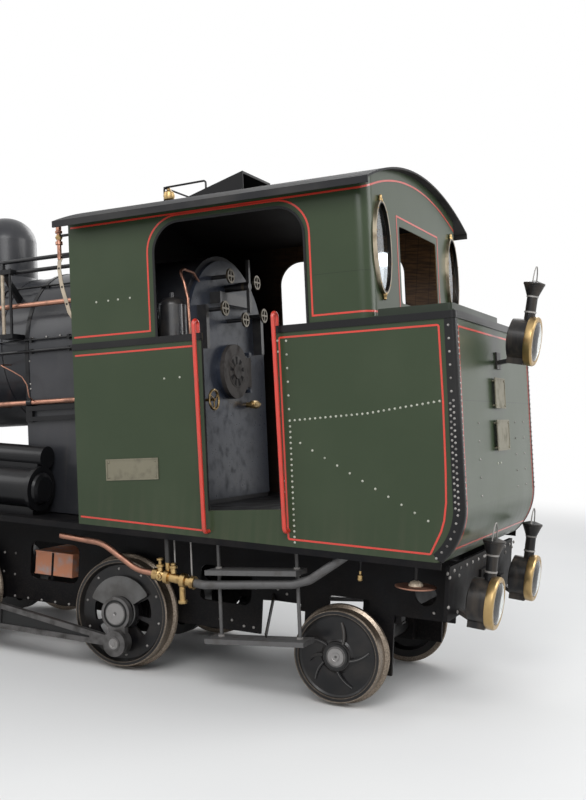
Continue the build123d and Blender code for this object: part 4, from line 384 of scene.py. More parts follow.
dress(green, "cab_sides", "cab_end_walls")
dress(bunkerPaint, "bunker")
dress(beltBlack, "body_belt", "roof_ventilator")
dress(roofBlack, "cab_roof")
dress(boiler, "boiler_barrel", "firebox_casing", "dome_and_safety_valves")
dress(smokeBlack, "smokebox_and_chimney", "smokebox_door")
dress(underBlack, "main_frame", "footplate", "buffer_beams", "axleboxes_and_springs")
dress(emberFace(), "ashpan")
dress(castBlack, "cab_floor")
dress(sheetBlue, "backhead")
dress(castGrey, "fire_door")
dress(backheadMetal(), "backhead_fittings")
dress(nickelRim(), "window_rims")
dress(injectorBrass(), "injectors")
dress(copper, "copper_pipes")
dress(darkSteel, "suction_pipes", "cab_steps")
dress(beltBlack, "boiler_rails_and_rods")
dress(red, "cab_handrails")
dress(blackGloss("cylinder black", dustTop=0.9), "cylinders_and_slide_bars")
dress(lampBlack, "lamps")
dress(pane, "window_glass")
for side in ("left", "right"):
    dress(rodSheet(), f"coupling_rod_{side}")
    dress(rodSteel, f"main_rod_{side}", f"rocker_{side}")
    dress(steel, f"crosshead_{side}")
# wheel table: name, axle x, axle z, tread radius, rim radius, hub radius
wheelTable = (
    ("driven_rear", -0.371, 0.4255, 0.3975, 0.3655, 0.121),
    ("driven_front", 1.229, 0.4255, 0.3975, 0.3655, 0.121),
    ("trailing", -2.100, 0.3420, 0.3140, 0.2820, 0.104),
)
for name, axleX, axleZ, tread, rim, hub in wheelTable:
    dress(wheelFinish(f"wheel {name}", axleX, axleZ, tread, rim, hub), f"wheels_{name}")
    dress(crankSteel(f"crank {name}", axleX, axleZ), f"axle_{name}")
print("finishes made and CAD nodes dressed")


# Mesh helpers
sunkBy = 0.0004  # ribbons and angles reach this far into the sheet below


class Shape:
    def __init__(self):
        self.verts, self.faces = [], []

    def add(self, verts, faces):
        start = len(self.verts)
        self.verts += [Vector(v) for v in verts]
        self.faces += [tuple(start + i for i in face) for face in faces]
        return self

    def box(self, centre, size, turn=None):
        corners = [Vector((x * size[0] / 2, y * size[1] / 2, z * size[2] / 2))
                   for x in (-1, 1) for y in (-1, 1) for z in (-1, 1)]
        if turn is not None:
            corners = [turn @ corner for corner in corners]
        faces = ((0, 1, 3, 2), (4, 6, 7, 5), (0, 4, 5, 1), (2, 3, 7, 6), (0, 2, 6, 4), (1, 5, 7, 3))
        return self.add([Vector(centre) + corner for corner in corners], faces)

    # profile: (along the axis, radius) pairs, closed on the axis unless they form a ring
    def lathe(self, profile, origin, axis, steps=32):
        if profile[0] != profile[-1]:
            profile = dict.fromkeys(((profile[0][0], 0.0), *profile, (profile[-1][0], 0.0)))
        axis = Vector(axis).normalized()
        first = axis.orthogonal().normalized()
        second = axis.cross(first)
        verts, faces, rings = [], [], []
        for along, radius in profile:
            base = Vector(origin) + axis * along
            if radius < 1e-6:
                rings.append([len(verts)])
                verts.append(base)
            else:
                rings.append(list(range(len(verts), len(verts) + steps)))
                verts += [base + (first * cos(t) + second * sin(t)) * radius
                          for t in (2 * pi * i / steps for i in range(steps))]
        for low, high in zip(rings, rings[1:]):
            for i in range(steps):
                j = (i + 1) % steps
                corners = [low[i % len(low)], low[j % len(low)], high[j % len(high)], high[i % len(high)]]
                ring = list(dict.fromkeys(corners))
                if len(ring) > 2:
                    faces.append(ring)
        return self.add(verts, faces)

    # a plain cylinder between two places on its axis
    def rod(self, low, high, radius, origin, axis, steps=16):
        return self.lathe(((low, radius), (high, radius)), origin, axis, steps)

    def sweep(self, verts, sides, closed):  # the faces between rings of equal size
        count, faces = len(verts) // sides, []
        for i in range(count if closed else count - 1):
            n = (i + 1) % count
            for k in range(sides):
                m = (k + 1) % sides
                faces.append((i * sides + k, i * sides + m, n * sides + m, n * sides + k))
        if not closed:
            faces += [tuple(reversed(range(sides))), tuple((count - 1) * sides + k for k in range(sides))]
        return self.add(verts, faces)

    def tube(self, points, radius, sides=12, closed=False):
        points = [Vector(point) for point in points]
        count, verts, across = len(points), [], None
        for i, point in enumerate(points):
            ahead = points[(i + 1) % count] if closed or i < count - 1 else point
            behind = points[i - 1] if closed or i else point
            along = (ahead - behind).normalized()
            across = along.orthogonal() if across is None else across - along * across.dot(along)
            across.normalize()
            other = along.cross(across)
            verts += [point + (across * cos(t) + other * sin(t)) * radius
                      for t in (2 * pi * k / sides for k in range(sides))]
        return self.sweep(verts, sides, closed)

    def ribbon(self, path, width, thick, closed=False):  # path: (point on the surface, outward normal)
        count, verts = len(path), []
        for i, (point, normal) in enumerate(path):
            ahead = path[(i + 1) % count][0] if closed or i < count - 1 else point
            behind = path[i - 1][0] if closed or i else point
            legs = [leg.normalized() for leg in (point - behind, ahead - point) if leg.length > 1e-9]
            along = sum(legs, Vector()).normalized()
            across = normal.cross(along).normalized()
            mitre = 1.0 / max(0.4, abs(along.dot(legs[0])))
            half = across * width * mitre / 2
            sunk, proud = normal * -sunkBy, normal * thick
            verts += [point + half + sunk, point + half + proud, point - half + proud, point - half + sunk]
        return self.sweep(verts, 4, closed)

    def finish(self, name, material, body, slot):
        mesh = bpy.data.meshes.new(name)
        mesh.from_pydata([tuple(v) for v in self.verts], [], self.faces)
        build = bmesh.new()
        build.from_mesh(mesh)
        bmesh.ops.recalc_face_normals(build, faces=build.faces)
        build.to_mesh(mesh)
        build.free()
        return place(name, mesh, material, body, slot)


def linked(name, data):
    made = bpy.data.objects.new(name, data)
    bpy.context.scene.collection.objects.link(made)
    return made


def place(name, mesh, material, body, slot, sharp=32.0):
    mesh.materials.clear()
    mesh.materials.append(material)
    mesh.shade_smooth()
    mesh.set_sharp_from_angle(angle=radians(sharp))
    made = linked(name, mesh)
    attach(made, body)
    return made


def roundCorners(points, radius, steps=8, closed=False):
    points = [Vector(point) for point in points]
    count, result = len(points), []
    for i, corner in enumerate(points):
        if not closed and i in (0, count - 1):
            result.append(corner)
            continue
        before, after = points[i - 1] - corner, points[(i + 1) % count] - corner
        angle = before.angle(after)
        if radius <= 0 or angle > radians(179):
            result.append(corner)
            continue
        reach = min(radius / tan(angle / 2), 0.49 * before.length, 0.49 * after.length)
        real = reach * tan(angle / 2)
        start, end = corner + before.normalized() * reach, corner + after.normalized() * reach
        middle = (before.normalized() + after.normalized()).normalized()
        centre = corner + middle * (real / sin(angle / 2))
        for k in range(steps + 1):
            blend = (start - centre).slerp(end - centre, k / steps)
            result.append(centre + blend.normalized() * real)
    return result


def arcPoints(first, middle, last, steps):  # circle through three (s, h) pairs, with its outward directions
    (ax, ay), (bx, by), (cx, cy) = first, middle, last
    d = 2 * (ax * (by - cy) + bx * (cy - ay) + cx * (ay - by))
    a, b, c = ax * ax + ay * ay, bx * bx + by * by, cx * cx + cy * cy
    ux = (a * (by - cy) + b * (cy - ay) + c * (ay - by)) / d
    uy = (a * (cx - bx) + b * (ax - cx) + c * (bx - ax)) / d
    radius = hypot(ax - ux, ay - uy)
    start, end = atan2(ay - uy, ax - ux), atan2(cy - uy, cx - ux)
    turns = [start + (end - start) * k / steps for k in range(steps + 1)]
    return [(ux + radius * cos(t), uy + radius * sin(t), cos(t), sin(t)) for t in turns]


# Red lining
lining = {"width": 0.0125, "proud": 0.0016, "windowRadius": 0.245, "topLine": 2.158, "windowTop": 2.148,
          "windowFoot": 1.352, "frontTop": 1.220, "rearHalf": 1.008, "rearTop": 1.209, "panelHalf": 0.495}
# the bunker's toe, from the foot of the rear sheet to its lower end
toe = arcPoints((sheets["bunkerRearS"], 0.060), (2.821, -0.128), (2.703, -0.2703), 10)


def onSide(s, h, side):
    return raked(s, h, side * sheets["sideY"])


def sidePath(pairs, side, radius=0.0, steps=8, closed=False):
    points = roundCorners([onSide(s, h, side) for s, h in pairs], radius, steps, closed)
    return [(point, leftward * side) for point in points]


# from the side round the cab's rear corner, height is a function of y
def aroundCorner(height, side, reachTo):
    path = []
    for k in range(9):
        t = radians(90 * k / 8)
        y = sheets["cabCornerY"] + sheets["cabCornerRadius"] * cos(t)
        s = sheets["cabCornerS"] + sheets["cabCornerRadius"] * sin(t)
        path.append((raked(s, height(y), side * y), leftward * side * cos(t) + backAlong * sin(t)))
    steps = 14
    for k in range(1, steps + 1):
        y = sheets["cabCornerY"] + (reachTo - sheets["cabCornerY"]) * k / steps
        path.append((raked(sheets["cabRearS"], height(y), side * y), backAlong.copy()))
    return path


def archHeight(y):
    square = sheets["archRadius"] ** 2
    return lining["topLine"] + sqrt(square - y * y) - sqrt(square - sheets["sideY"] ** 2)


def layLine(shape, path, closed=False):
    shape.ribbon(path, lining["width"], lining["proud"], closed)


for side, hand in ((1, "left"), (-1, "right")):
    lines = Shape()
    layLine(lines, sidePath(((0.02, lining["topLine"]),), side) + aroundCorner(archHeight, side, 0.0))
    start = sidePath(((0.020, 1.353),), side)
    window = ((0.666, 1.352), (0.666, lining["windowTop"]), (1.914, lining["windowTop"]),
              (1.914, lining["windowFoot"]))
    arch = sidePath(window, side, lining["windowRadius"], 12)
    layLine(lines, start + arch + aroundCorner(lambda y: lining["windowFoot"], side, 0.90))
    layLine(lines, sidePath(((0.020, lining["frontTop"]), (1.030, lining["frontTop"])), side))
    layLine(lines, sidePath(((0.020, 0.052), (1.030, -0.056)), side))
    tank = ((1.662, 1.226), (2.765, 1.221), (2.770, 0.745), (2.765, 0.300), (2.758, 0.110), (2.740, -0.005),
            (2.716, -0.075), (2.640, -0.214), (1.668, -0.116))
    layLine(lines, sidePath(tank, side, 0.012, 8, True), True)
    lines.finish(f"side_lining_{hand}", red, engine, "red")

rearLines = Shape()
drop = [(sheets["bunkerRearS"], lining["rearTop"], 1.0, 0.0),
        (sheets["bunkerRearS"], 0.060, 1.0, 0.0)] + toe[1:8]
leftRun, rightRun = ([(raked(s, h, y), backAlong * ns + squareUp * nh) for s, h, ns, nh in drop]
                     for y in (lining["rearHalf"], -lining["rearHalf"]))
layLine(rearLines, leftRun + rightRun[::-1], True)
half = lining["panelHalf"]
panel = ((half, 1.37), (half, 2.060), (-half, 2.060), (-half, 1.37))
layLine(rearLines, [(raked(sheets["cabRearS"], h, y), backAlong.copy()) for y, h in panel])
rearLines.finish("rear_lining", red, engine, "red")
print("lining laid")

# Black angles on the bunker's rear corners, beads round the openings
trim = {"angleFrom": 2.802, "rearFlange": 0.022, "angleProud": 0.004, "beadWidth": 0.016, "beadProud": 0.007,
        "postWidth": 0.010}
for side, hand in ((1, "left"), (-1, "right")):
    angles = Shape()
    back = [(sheets["bunkerRearS"], 1.257, 1.0, 0.0), (sheets["bunkerRearS"], 0.060, 1.0, 0.0)] + toe[1:]
    # profile: inset from the rear face, inset from the side, turn of the face
    radius = sheets["bunkerCornerRadius"]
    profile = [(sheets["bunkerRearS"] - trim["angleFrom"], 0.0, 0.0)]
    profile += [(radius * (1 - sin(t)), radius * (1 - cos(t)), t)
                for t in (radians(90 * k / 8) for k in range(9))]
    profile.append((0.0, radius + trim["rearFlange"], radians(90)))
    rows = []
    for s, h, ns, nh in back:
        middle, rearward = onSide(s, h, side), backAlong * ns + squareUp * nh
        for lift in (-sunkBy, trim["angleProud"]):
            rows.append([middle - rearward * inset - leftward * side * sink
                         + (leftward * side * cos(t) + rearward * sin(t)) * lift
                         for inset, sink, t in profile])
    count, span = len(profile), len(back)
    verts = [point for row in rows for point in row]
    faces = []
    for i in range(span - 1):
        for k in range(count - 1):
            for lift in (0, 1):
                a, b = (2 * i + lift) * count + k, (2 * i + 2 + lift) * count + k
                faces.append((a, a + 1, b + 1, b))
        for k in (0, count - 1):
            a, b = 2 * i * count + k, (2 * i + 2) * count + k
            faces.append((a, a + count, b + count, b))
    for i in (0, span - 1):
        for k in range(count - 1):
            a = 2 * i * count + k
            faces.append((a, a + 1, a + 1 + count, a + count))
    angles.add(verts, faces).finish(f"corner_angles_{hand}", beltBlack, engine, "black")

    beads = Shape()
    ring = ((0.718, 1.306), (0.718, 2.102), (1.877, 2.102), (1.877, 1.306))
    beads.ribbon(sidePath(ring, side, 0.205, 14), trim["beadWidth"], trim["beadProud"])
    for s in (1.079, 1.625):
        beads.ribbon(sidePath(((s, 0.080), (s, 1.258)), side), trim["postWidth"], trim["beadProud"])
    beads.finish(f"opening_beads_{hand}", beltBlack, engine, "black")
print("angles and beads fitted")


# Rivets and bolts, by geometry nodes
def headTree():  # heads every Spacing along each edge, pointing along the facing attribute
    tree = bpy.data.node_groups.new("rivet rows", "GeometryNodeTree")
    face = tree.interface
    face.new_socket("Geometry", in_out="INPUT", socket_type="NodeSocketGeometry")
    kinds = {"Spacing": "Float", "Radius": "Float", "Height": "Float", "Material": "Material"}
    inputs = {key: face.new_socket(key, in_out="INPUT", socket_type="NodeSocket" + kind).identifier
              for key, kind in kinds.items()}
    face.new_socket("Geometry", in_out="OUTPUT", socket_type="NodeSocketGeometry")
    made = {"in": "NodeGroupInput", "curve": "GeometryNodeMeshToCurve", "points": "GeometryNodeCurveToPoints",
            "facing": "GeometryNodeInputNamedAttribute", "align": "FunctionNodeAlignRotationToVector",
            "head": "GeometryNodeMeshUVSphere", "size": "ShaderNodeCombineXYZ",
            "scale": "GeometryNodeTransform", "instance": "GeometryNodeInstanceOnPoints",
            "real": "GeometryNodeRealizeInstances", "material": "GeometryNodeSetMaterial",
            "out": "NodeGroupOutput"}
    made = {key: tree.nodes.new(kind) for key, kind in made.items()}
    made["points"].mode = "LENGTH"
    made["facing"].data_type = "FLOAT_VECTOR"
    made["facing"].inputs["Name"].default_value = "facing"
    made["align"].axis = "Z"
    for key, value in (("Segments", 8), ("Rings", 5), ("Radius", 1.0)):
        made["head"].inputs[key].default_value = value
    for source, output, target, socket in (
            ("in", "Geometry", "curve", "Mesh"), ("curve", "Curve", "points", "Curve"),
            ("in", "Spacing", "points", "Length"), ("facing", "Attribute", "align", "Vector"),
            ("in", "Radius", "size", "X"), ("in", "Radius", "size", "Y"), ("in", "Height", "size", "Z"),
            ("head", "Mesh", "scale", "Geometry"), ("size", "Vector", "scale", "Scale"),
            ("points", "Points", "instance", "Points"), ("scale", "Geometry", "instance", "Instance"),
            ("align", "Rotation", "instance", "Rotation"), ("instance", "Instances", "real", "Geometry"),
            ("real", "Geometry", "material", "Geometry"), ("in", "Material", "material", "Material"),
            ("material", "Geometry", "out", "Geometry")):
        tree.links.new(made[source].outputs[output], made[target].inputs[socket])
    return tree, inputs


rivetTree, rivetInputs = headTree()


# row: first point, last point, facing
def headRows(name, rows, spacing, radius, height, material, body, slot):
    mesh = bpy.data.meshes.new(name + "_rows")
    verts = [point for row in rows for point in row[:2]]
    mesh.from_pydata([tuple(v) for v in verts], [(2 * i, 2 * i + 1) for i in range(len(rows))], [])
    facing = mesh.attributes.new("facing", "FLOAT_VECTOR", "POINT")
    for i, row in enumerate(rows):
        facing.data[2 * i].vector = facing.data[2 * i + 1].vector = row[2]
    carrier = linked(name + "_carrier", mesh)
    modifier = carrier.modifiers.new("heads", "NODES")
    modifier.node_group = rivetTree
    for key, value in {"Spacing": spacing, "Radius": radius, "Height": height, "Material": material}.items():
        modifier[rivetInputs[key]] = value
    bpy.context.view_layer.update()
    depsgraph = bpy.context.evaluated_depsgraph_get()
    result = bpy.data.meshes.new_from_object(carrier.evaluated_get(depsgraph))
    bpy.data.objects.remove(carrier)
    result.name = name
    return place(name, result, material, body, slot, 50.0)


def sideRow(first, last, side, y=sheets["sideY"]):
    return (raked(*first, side * y), raked(*last, side * y), leftward * side)


def rearRow(first, last, s=sheets["bunkerRearS"]):  # between two (y, h) pairs on the rear sheet
    return (raked(s, first[1], first[0]), raked(s, last[1], last[0]), backAlong.copy())


def loneHeads(pairs, side, y=sheets["sideY"]):  # one head at each (s, h), from an edge 1 mm long
    return [sideRow((s, h), (s, h - 0.001), side, y) for s, h in pairs]


# spacings, then radius and height by kind of head
rivets = {"wide": 0.076, "close": 0.0365, "slant": 0.100, "lone": 0.5, "frame": 0.1305, "beam": 0.140}
heads = {"panel": (0.0088, 0.0060), "angle": (0.009, 0.006), "bolt": (0.011, 0.007), "beam": (0.013, 0.009),
         "tyre": (0.011, 0.009)}
angleY, angleS = sheets["sideY"] + trim["angleProud"], sheets["bunkerRearS"] + trim["angleProud"]
casing = {"half": 0.680, "crownH": 1.338, "bandFoot": 0.850, "bandS": -0.712, "bandWidth": 0.034,
          "bandThick": 0.005}
plateY, beamX = 0.6125, 2.881
wideRows, closeRows, slantRows, angleWide, angleClose, loneRows = [], [], [], [], [], []
casingRows, frameRows, loneBolts, beamRows = [], [], [], []
for side in (1, -1):
    out = leftward * side
    wideRows.append(sideRow((1.713, 1.201), (1.713, 0.745), side))
    closeRows += [sideRow((1.714, 0.668), (2.230, 0.688), side),
                  sideRow((2.266, 0.690), (2.748, 0.743), side),
                  sideRow((1.715, 0.630), (1.712, -0.139), side)]
    slantRows.append(sideRow((1.783, 0.517), (2.636, -0.006), side))
    angleWide.append(sideRow((2.828, 1.215), (2.828, 0.80), side, angleY))
    angleClose += [sideRow((2.838, 0.743), (2.838, 0.060), side, angleY),
                   sideRow((2.817, 0.725), (2.817, 0.070), side, angleY)]
    inner = [(s - 0.040 * ns, h - 0.040 * nh) for s, h, ns, nh in toe[1:]]
    angleClose += [sideRow(a, b, side, angleY) for a, b in zip(inner[::3], inner[3::3])]
    angleClose.append(rearRow((side * 1.037, 1.215), (side * 1.037, 0.080), angleS))
    loneRows += loneHeads(((0.223, 1.596), (0.325, 1.597), (0.408, 1.599), (0.509, 1.601), (0.764, 1.008),
                           (0.889, 1.010), (1.650, 1.207), (1.650, 1.133), (1.650, 0.270), (1.650, 0.196)),
                          side)
    casingRows += loneHeads(((-0.655, 1.43), (-0.520, 1.43), (-0.390, 1.43), (-0.688, 1.25), (-0.688, 1.07),
                             (-0.688, 1.03), (-0.25, 1.43), (-0.11, 1.43)), side, casing["half"])
    # frame plates: two rows ahead, single bolts round the openings
    for z in (0.98, 0.62):
        frameRows.append((Vector((1.60, side * plateY, z)), Vector((2.80, side * plateY, z)), out))
    for x, z in ((0.752, 0.384), (0.6215, 0.383), (0.491, 0.382), (0.3605, 0.381), (0.230, 0.380),
                 (0.871, 0.722), (0.7615, 0.7255), (0.872, 0.569), (0.762, 0.557), (-1.100, 0.434),
                 (-1.198, 0.440), (-1.2975, 0.409), (-1.375, 0.409), (-1.379, 0.694), (-1.553, 0.707),
                 (-1.625, 0.680), (-2.707, 0.680), (-2.810, 0.720), (-2.862, 0.720)):
        loneBolts.append((Vector((x, side * plateY, z)), Vector((x - 0.001, side * plateY, z)), out))
    # beams: end, then y and z of the first and the last head
    for end, y0, z0, y1, z1 in ((-1, 0.02, 1.008, 0.95, 1.008), (-1, 0.893, 0.785, 0.893, 0.975),
                                (-1, 0.670, 0.720, 0.670, 0.960), (1, 0.25, 1.04, 1.0, 1.04),
                                (1, 0.25, 0.67, 1.0, 0.67)):
        beamRows.append((Vector((end * beamX, side * y0, z0)), Vector((end * beamX, side * y1, z1)),
                         Vector((end, 0, 0))))
rearRows = [rearRow((y, 0.597), (y, 0.116)) for y in (0.620, -0.470, -0.760)]
loneRows += [rearRow((y, 0.312), (y, 0.311)) for y in (0.129, 0.039)]
for name, rows, spacing, head, material, slot in (
        ("rear_rivets", rearRows, "slant", "panel", rivetDark, "black"),
        ("panel_rivets_wide", wideRows, "wide", "panel", rivetWornAndHighlight, "green"),
        ("panel_rivets_close", closeRows, "close", "panel", rivetWornAndHighlight, "green"),
        ("panel_rivets_slant", slantRows, "slant", "panel", rivetWornAndHighlight, "green"),
        ("panel_rivets_lone", loneRows, "lone", "panel", rivetWornAndHighlight, "green"),
        ("angle_rivets_wide", angleWide, "wide", "angle", rivetDark, "black"),
        ("angle_rivets_close", angleClose, "close", "angle", rivetDark, "black"),
        ("casing_rivets", casingRows, "lone", "angle", rivetDark, "black"),
        ("frame_rivets", frameRows, "frame", "bolt", rivetDark, "black"),
        ("frame_bolts", loneBolts, "lone", "bolt", rivetDark, "black"),
        ("beam_bolts", beamRows, "beam", "beam", rivetDark, "black")):
    headRows(name, rows, rivets[spacing], *heads[head], material, engine, slot)
print("rivets and bolts set")

# Blank plates
plates = {"thick": 0.004, "rim": 0.010, "rimProud": 0.003, "inset": 0.022, "rearStandOff": 0.022}


def blankPlate(shape, centre, across, up, out, width, height, standOff=0.0):
    turn = Matrix((across, out, up)).transposed()
    middle = centre + out * (standOff + plates["thick"] / 2)
    shape.box(middle, (width, plates["thick"], height), turn)
    for sign in (1, -1):
        rise = up * sign * (height - plates["rim"]) / 2
        shift = across * sign * (width - plates["rim"]) / 2
        proud = out * (plates["thick"] / 2 + plates["rimProud"] / 2)
        shape.box(middle + rise + proud, (width, plates["rimProud"], plates["rim"]), turn)
        shape.box(middle + shift + proud, (plates["rim"], plates["rimProud"], height - 2 * plates["rim"]),
                  turn)
        for end in (1, -1):
            corner = across * end * (width / 2 - plates["inset"]) + up * sign * (height / 2 - plates["inset"])
            shape.lathe(((-0.002 - standOff, 0.007), (0.004, 0.008), (0.007, 0.005), (0.0075, 0.0)),
                        middle + corner, out, 12)


for side, hand in ((1, "left"), (-1, "right")):
    plate = Shape()
    blankPlate(plate, onSide(0.4715, 0.381, side), backAlong, squareUp, leftward * side, 0.434, 0.152)
    plate.finish(f"side_plate_{hand}", plateMetal, engine, "brass")
rearPlates = Shape()
for y, h, width, height in ((0.064, 0.803, 0.290, 0.214), (0.026, 0.508, 0.360, 0.216)):
    blankPlate(rearPlates, raked(sheets["bunkerRearS"], h, y), leftward, squareUp, backAlong, width, height,
               plates["rearStandOff"])
rearPlates.finish("rear_plates", plateMetal, engine, "brass")

# Lamps: lens, reflector, bezel, bail, bands
lamps = {"chimneyBack": 0.060, "capFoot": 0.394, "bailHalf": 0.064, "bailRise": 0.130, "bailRadius": 0.0045,
         "screws": 6, "screwRing": 0.156, "screwOut": 0.0155}
# each lamp's face: x, y, z, which end it faces, droop in degrees
lampTable = ((-3.166, 0.0, 2.548, -1, 5.5), (-3.126, 0.610, 0.794, -1, 3.5), (-3.126, -0.610, 0.794, -1, 3.5),
             (3.120, 0.700, 1.285, 1, 0.0), (3.120, -0.700, 1.285, 1, 0.0))
glassShape, bezelShape, mirrorShape, wireShape = Shape(), Shape(), Shape(), Shape()
for x, y, z, facing, droop in lampTable:
    lean = radians(droop)
    out = Vector((facing * cos(lean), 0, -sin(lean)))
    upright = Vector((facing * sin(lean), 0, cos(lean)))
    face = Vector((x, y, z))
    glassShape.lathe(((0.0128, 0.137), (0.0150, 0.136), (0.0235, 0.105), (0.0295, 0.068), (0.033, 0.032),
                      (0.034, 0.0)), face, out, 48)
    mirrorShape.lathe(((-0.001, 0.138), (0.0125, 0.138), (0.0075, 0.115), (0.003, 0.075), (0.0012, 0.03),
                       (0.0008, 0.0)), face, out, 40)
    bezelShape.lathe(((-0.044, 0.166), (-0.044, 0.1705), (-0.034, 0.1745), (0.004, 0.1745), (0.014, 0.168),
                      (0.017, 0.153), (0.013, 0.141), (0.003, 0.1375), (-0.002, 0.1375), (-0.002, 0.150),
                      (-0.044, 0.166)), face, out, 56)
    base = face - out * lamps["chimneyBack"]
    bezelShape.lathe(((0.394, 0.066), (0.394, 0.073), (0.398, 0.0758), (0.404, 0.0758), (0.408, 0.073),
                      (0.408, 0.066), (0.394, 0.066)), base, upright, 32)
    cap = base + upright * lamps["capFoot"]
    bail = [cap + leftward * lamps["bailHalf"] * cos(t) + upright * lamps["bailRise"] * sin(t)
            for t in (pi * k / 16 for k in range(17))]
    wireShape.tube(bail, lamps["bailRadius"], 8)
    for level in (0.196, 0.306):
        wireShape.lathe(((level, 0.036), (level, 0.0425), (level + 0.012, 0.0425), (level + 0.012, 0.036),
                         (level, 0.036)), base, upright, 24)
    for turn in range(lamps["screws"]):  # bezel screws
        t = radians(360 / lamps["screws"] * (turn + 0.5))
        spot = face + out * lamps["screwOut"]
        spot += (leftward * cos(t) + upright * sin(t)) * lamps["screwRing"]
        bezelShape.lathe(((-0.003, 0.005), (0.001, 0.005), (0.0018, 0.0)), spot, out, 8)
glassShape.finish("lamp_lenses", lens, engine, "glass")
bezelShape.finish("lamp_bezels", brass, engine, "brass")
mirrorShape.finish("lamp_reflectors", mirror, engine, "steel")
wireShape.finish("lamp_bails", rivetDark, engine, "black")
print("lamps finished")

# Oval window pivots and rim screws
ovals = {"y": 0.850, "h": 1.790, "pivotS": 2.345, "pivotRise": 0.310, "screwS": 2.358, "screws": 10,
         "screwHalf": 0.147, "screwRise": 0.307}
pivots = Shape()
for side in (1, -1):
    for up in (1, -1):
        base = raked(ovals["pivotS"], ovals["h"] + up * ovals["pivotRise"], side * ovals["y"])
        pivots.lathe(((0.0, 0.017), (0.012, 0.017), (0.020, 0.012), (0.036, 0.012), (0.042, 0.008),
                      (0.044, 0.0)), base, squareUp * up, 16)
    for turn in range(ovals["screws"]):
        t = radians(360 / ovals["screws"] * (turn + 0.5))
        h, y = ovals["h"] + ovals["screwRise"] * sin(t), ovals["y"] + ovals["screwHalf"] * cos(t)
        pivots.lathe(((-0.002, 0.005), (0.002, 0.005), (0.003, 0.0)), raked(ovals["screwS"], h, side * y),
                     backAlong, 8)
pivots.finish("window_pivots", brass, engine, "brass")

# Axle ends, crank pins and tyre bolts
cranks = {1: radians(261.5), -1: radians(171.5), "throw": 0.21}
tyres = {"bolts": 10, "firstTurn": 9, "ring": 0.318, "faceY": 0.7785}
for name, axleX, axleZ, tread, rim, hub in wheelTable:
    ends, bolts = Shape(), []
    for side in (1, -1):
        out = leftward * side
        if name == "trailing":
            ends.lathe(((0.823, 0.060), (0.829, 0.058), (0.829, 0.030), (0.826, 0.026), (0.826, 0.010),
                        (0.820, 0.007)), (axleX, 0, axleZ), out, 32)
        else:
            ends.lathe(((0.878, 0.079), (0.883, 0.077), (0.883, 0.014), (0.879, 0.010)), (axleX, 0, axleZ),
                       out, 32)
            throw = cranks["throw"]
            pin = Vector((axleX + throw * cos(cranks[side]), 0, axleZ + throw * sin(cranks[side])))
            ends.lathe(((0.934, 0.040), (0.9385, 0.038), (0.9385, 0.027), (0.9365, 0.025), (0.9365, 0.016),
                        (0.940, 0.014)), pin, out, 32)
            for turn in range(tyres["bolts"]):
                t = radians(tyres["firstTurn"] + 360 / tyres["bolts"] * turn)
                spot = Vector((axleX + tyres["ring"] * cos(t), side * tyres["faceY"],
                               axleZ + tyres["ring"] * sin(t)))
                bolts.append((spot, spot + Vector((0.0005, 0, 0)), out))
    ends.finish(f"axle_ends_{name}", steel, f"axle_{name}", "steel")
    if bolts:
        headRows(f"tyre_bolts_{name}", bolts, rivets["lone"], *heads["tyre"], rivetDark, f"axle_{name}",
                 "iron")
print("wheels finished")

# Injector details, step nuts, whistle and rail on the roof
roofRail = {"y": 0.215, "front": 0.325, "topH": 2.585, "radius": 0.008}
brassware, nuts = Shape(), Shape()
for side in (1, -1):
    across = leftward * side
    for s, h, length, radius in ((0.628, -0.352, 0.100, 0.024), (0.735, -0.362, 0.075, 0.018)):
        base = raked(s, h, side * 1.0)
        brassware.lathe(((0.0, 0.024), (0.032, 0.020), (0.036, 0.030), (0.052, 0.030), (0.056, 0.013),
                         (length - 0.020, 0.011), (length - 0.018, radius), (length - 0.006, radius),
                         (length, 0.010)), base, squareUp, 20)
    brassware.lathe(((0.030, 0.036), (0.046, 0.036), (0.052, 0.024), (0.066, 0.024), (0.070, 0.012),
                     (0.082, 0.012)), raked(0.640, -0.378, side * 0.99), across, 8)
    ringFoot = raked(0.800, -0.560, side * 1.0)
    brassware.lathe(((-0.010, 0.022), (-0.012, 0.031), (-0.002, 0.034), (0.012, 0.031), (0.014, 0.022),
                     (-0.010, 0.022)), ringFoot, squareUp, 24)
    for s in (0.735, 0.868):
        nuts.tube([raked(s, -0.378, side * 0.975), raked(s, 0.052, side * 0.975)], 0.006, 8)
    for s in (1.060, 1.657):
        for level in (-0.367, -0.333, -0.837, -0.803):
            nuts.rod(-0.011, 0.011, 0.024, raked(s, level, side * 0.930), squareUp, 6)
brassware.finish("injector_fittings", brass, engine, "brass")
nuts.finish("step_nuts", rivetDark, engine, "black")

whistle = Shape()
ball = raked(0.358, 2.517, 0.200)
whistle.lathe(((-0.105, 0.020), (-0.050, 0.016), (-0.040, 0.024), (-0.028, 0.040), (0.0, 0.047),
               (0.028, 0.040), (0.044, 0.018), (0.062, 0.012)), ball, squareUp, 28)
whistle.finish("roof_whistle", brass, engine, "brass")
rail = Shape()
front, topH = roofRail["front"], roofRail["topH"]
for y in (roofRail["y"], -roofRail["y"]):
    line = [raked(front, 2.42, y), raked(front, topH, y), raked(0.70, 2.592, y), raked(0.70, 2.50, y)]
    rail.tube(roundCorners(line, 0.02), roofRail["radius"], 10)
rail.tube([raked(front, topH, roofRail["y"]), raked(front, topH, -roofRail["y"])], roofRail["radius"], 10)
rail.finish("roof_rail", beltBlack, engine, "black")

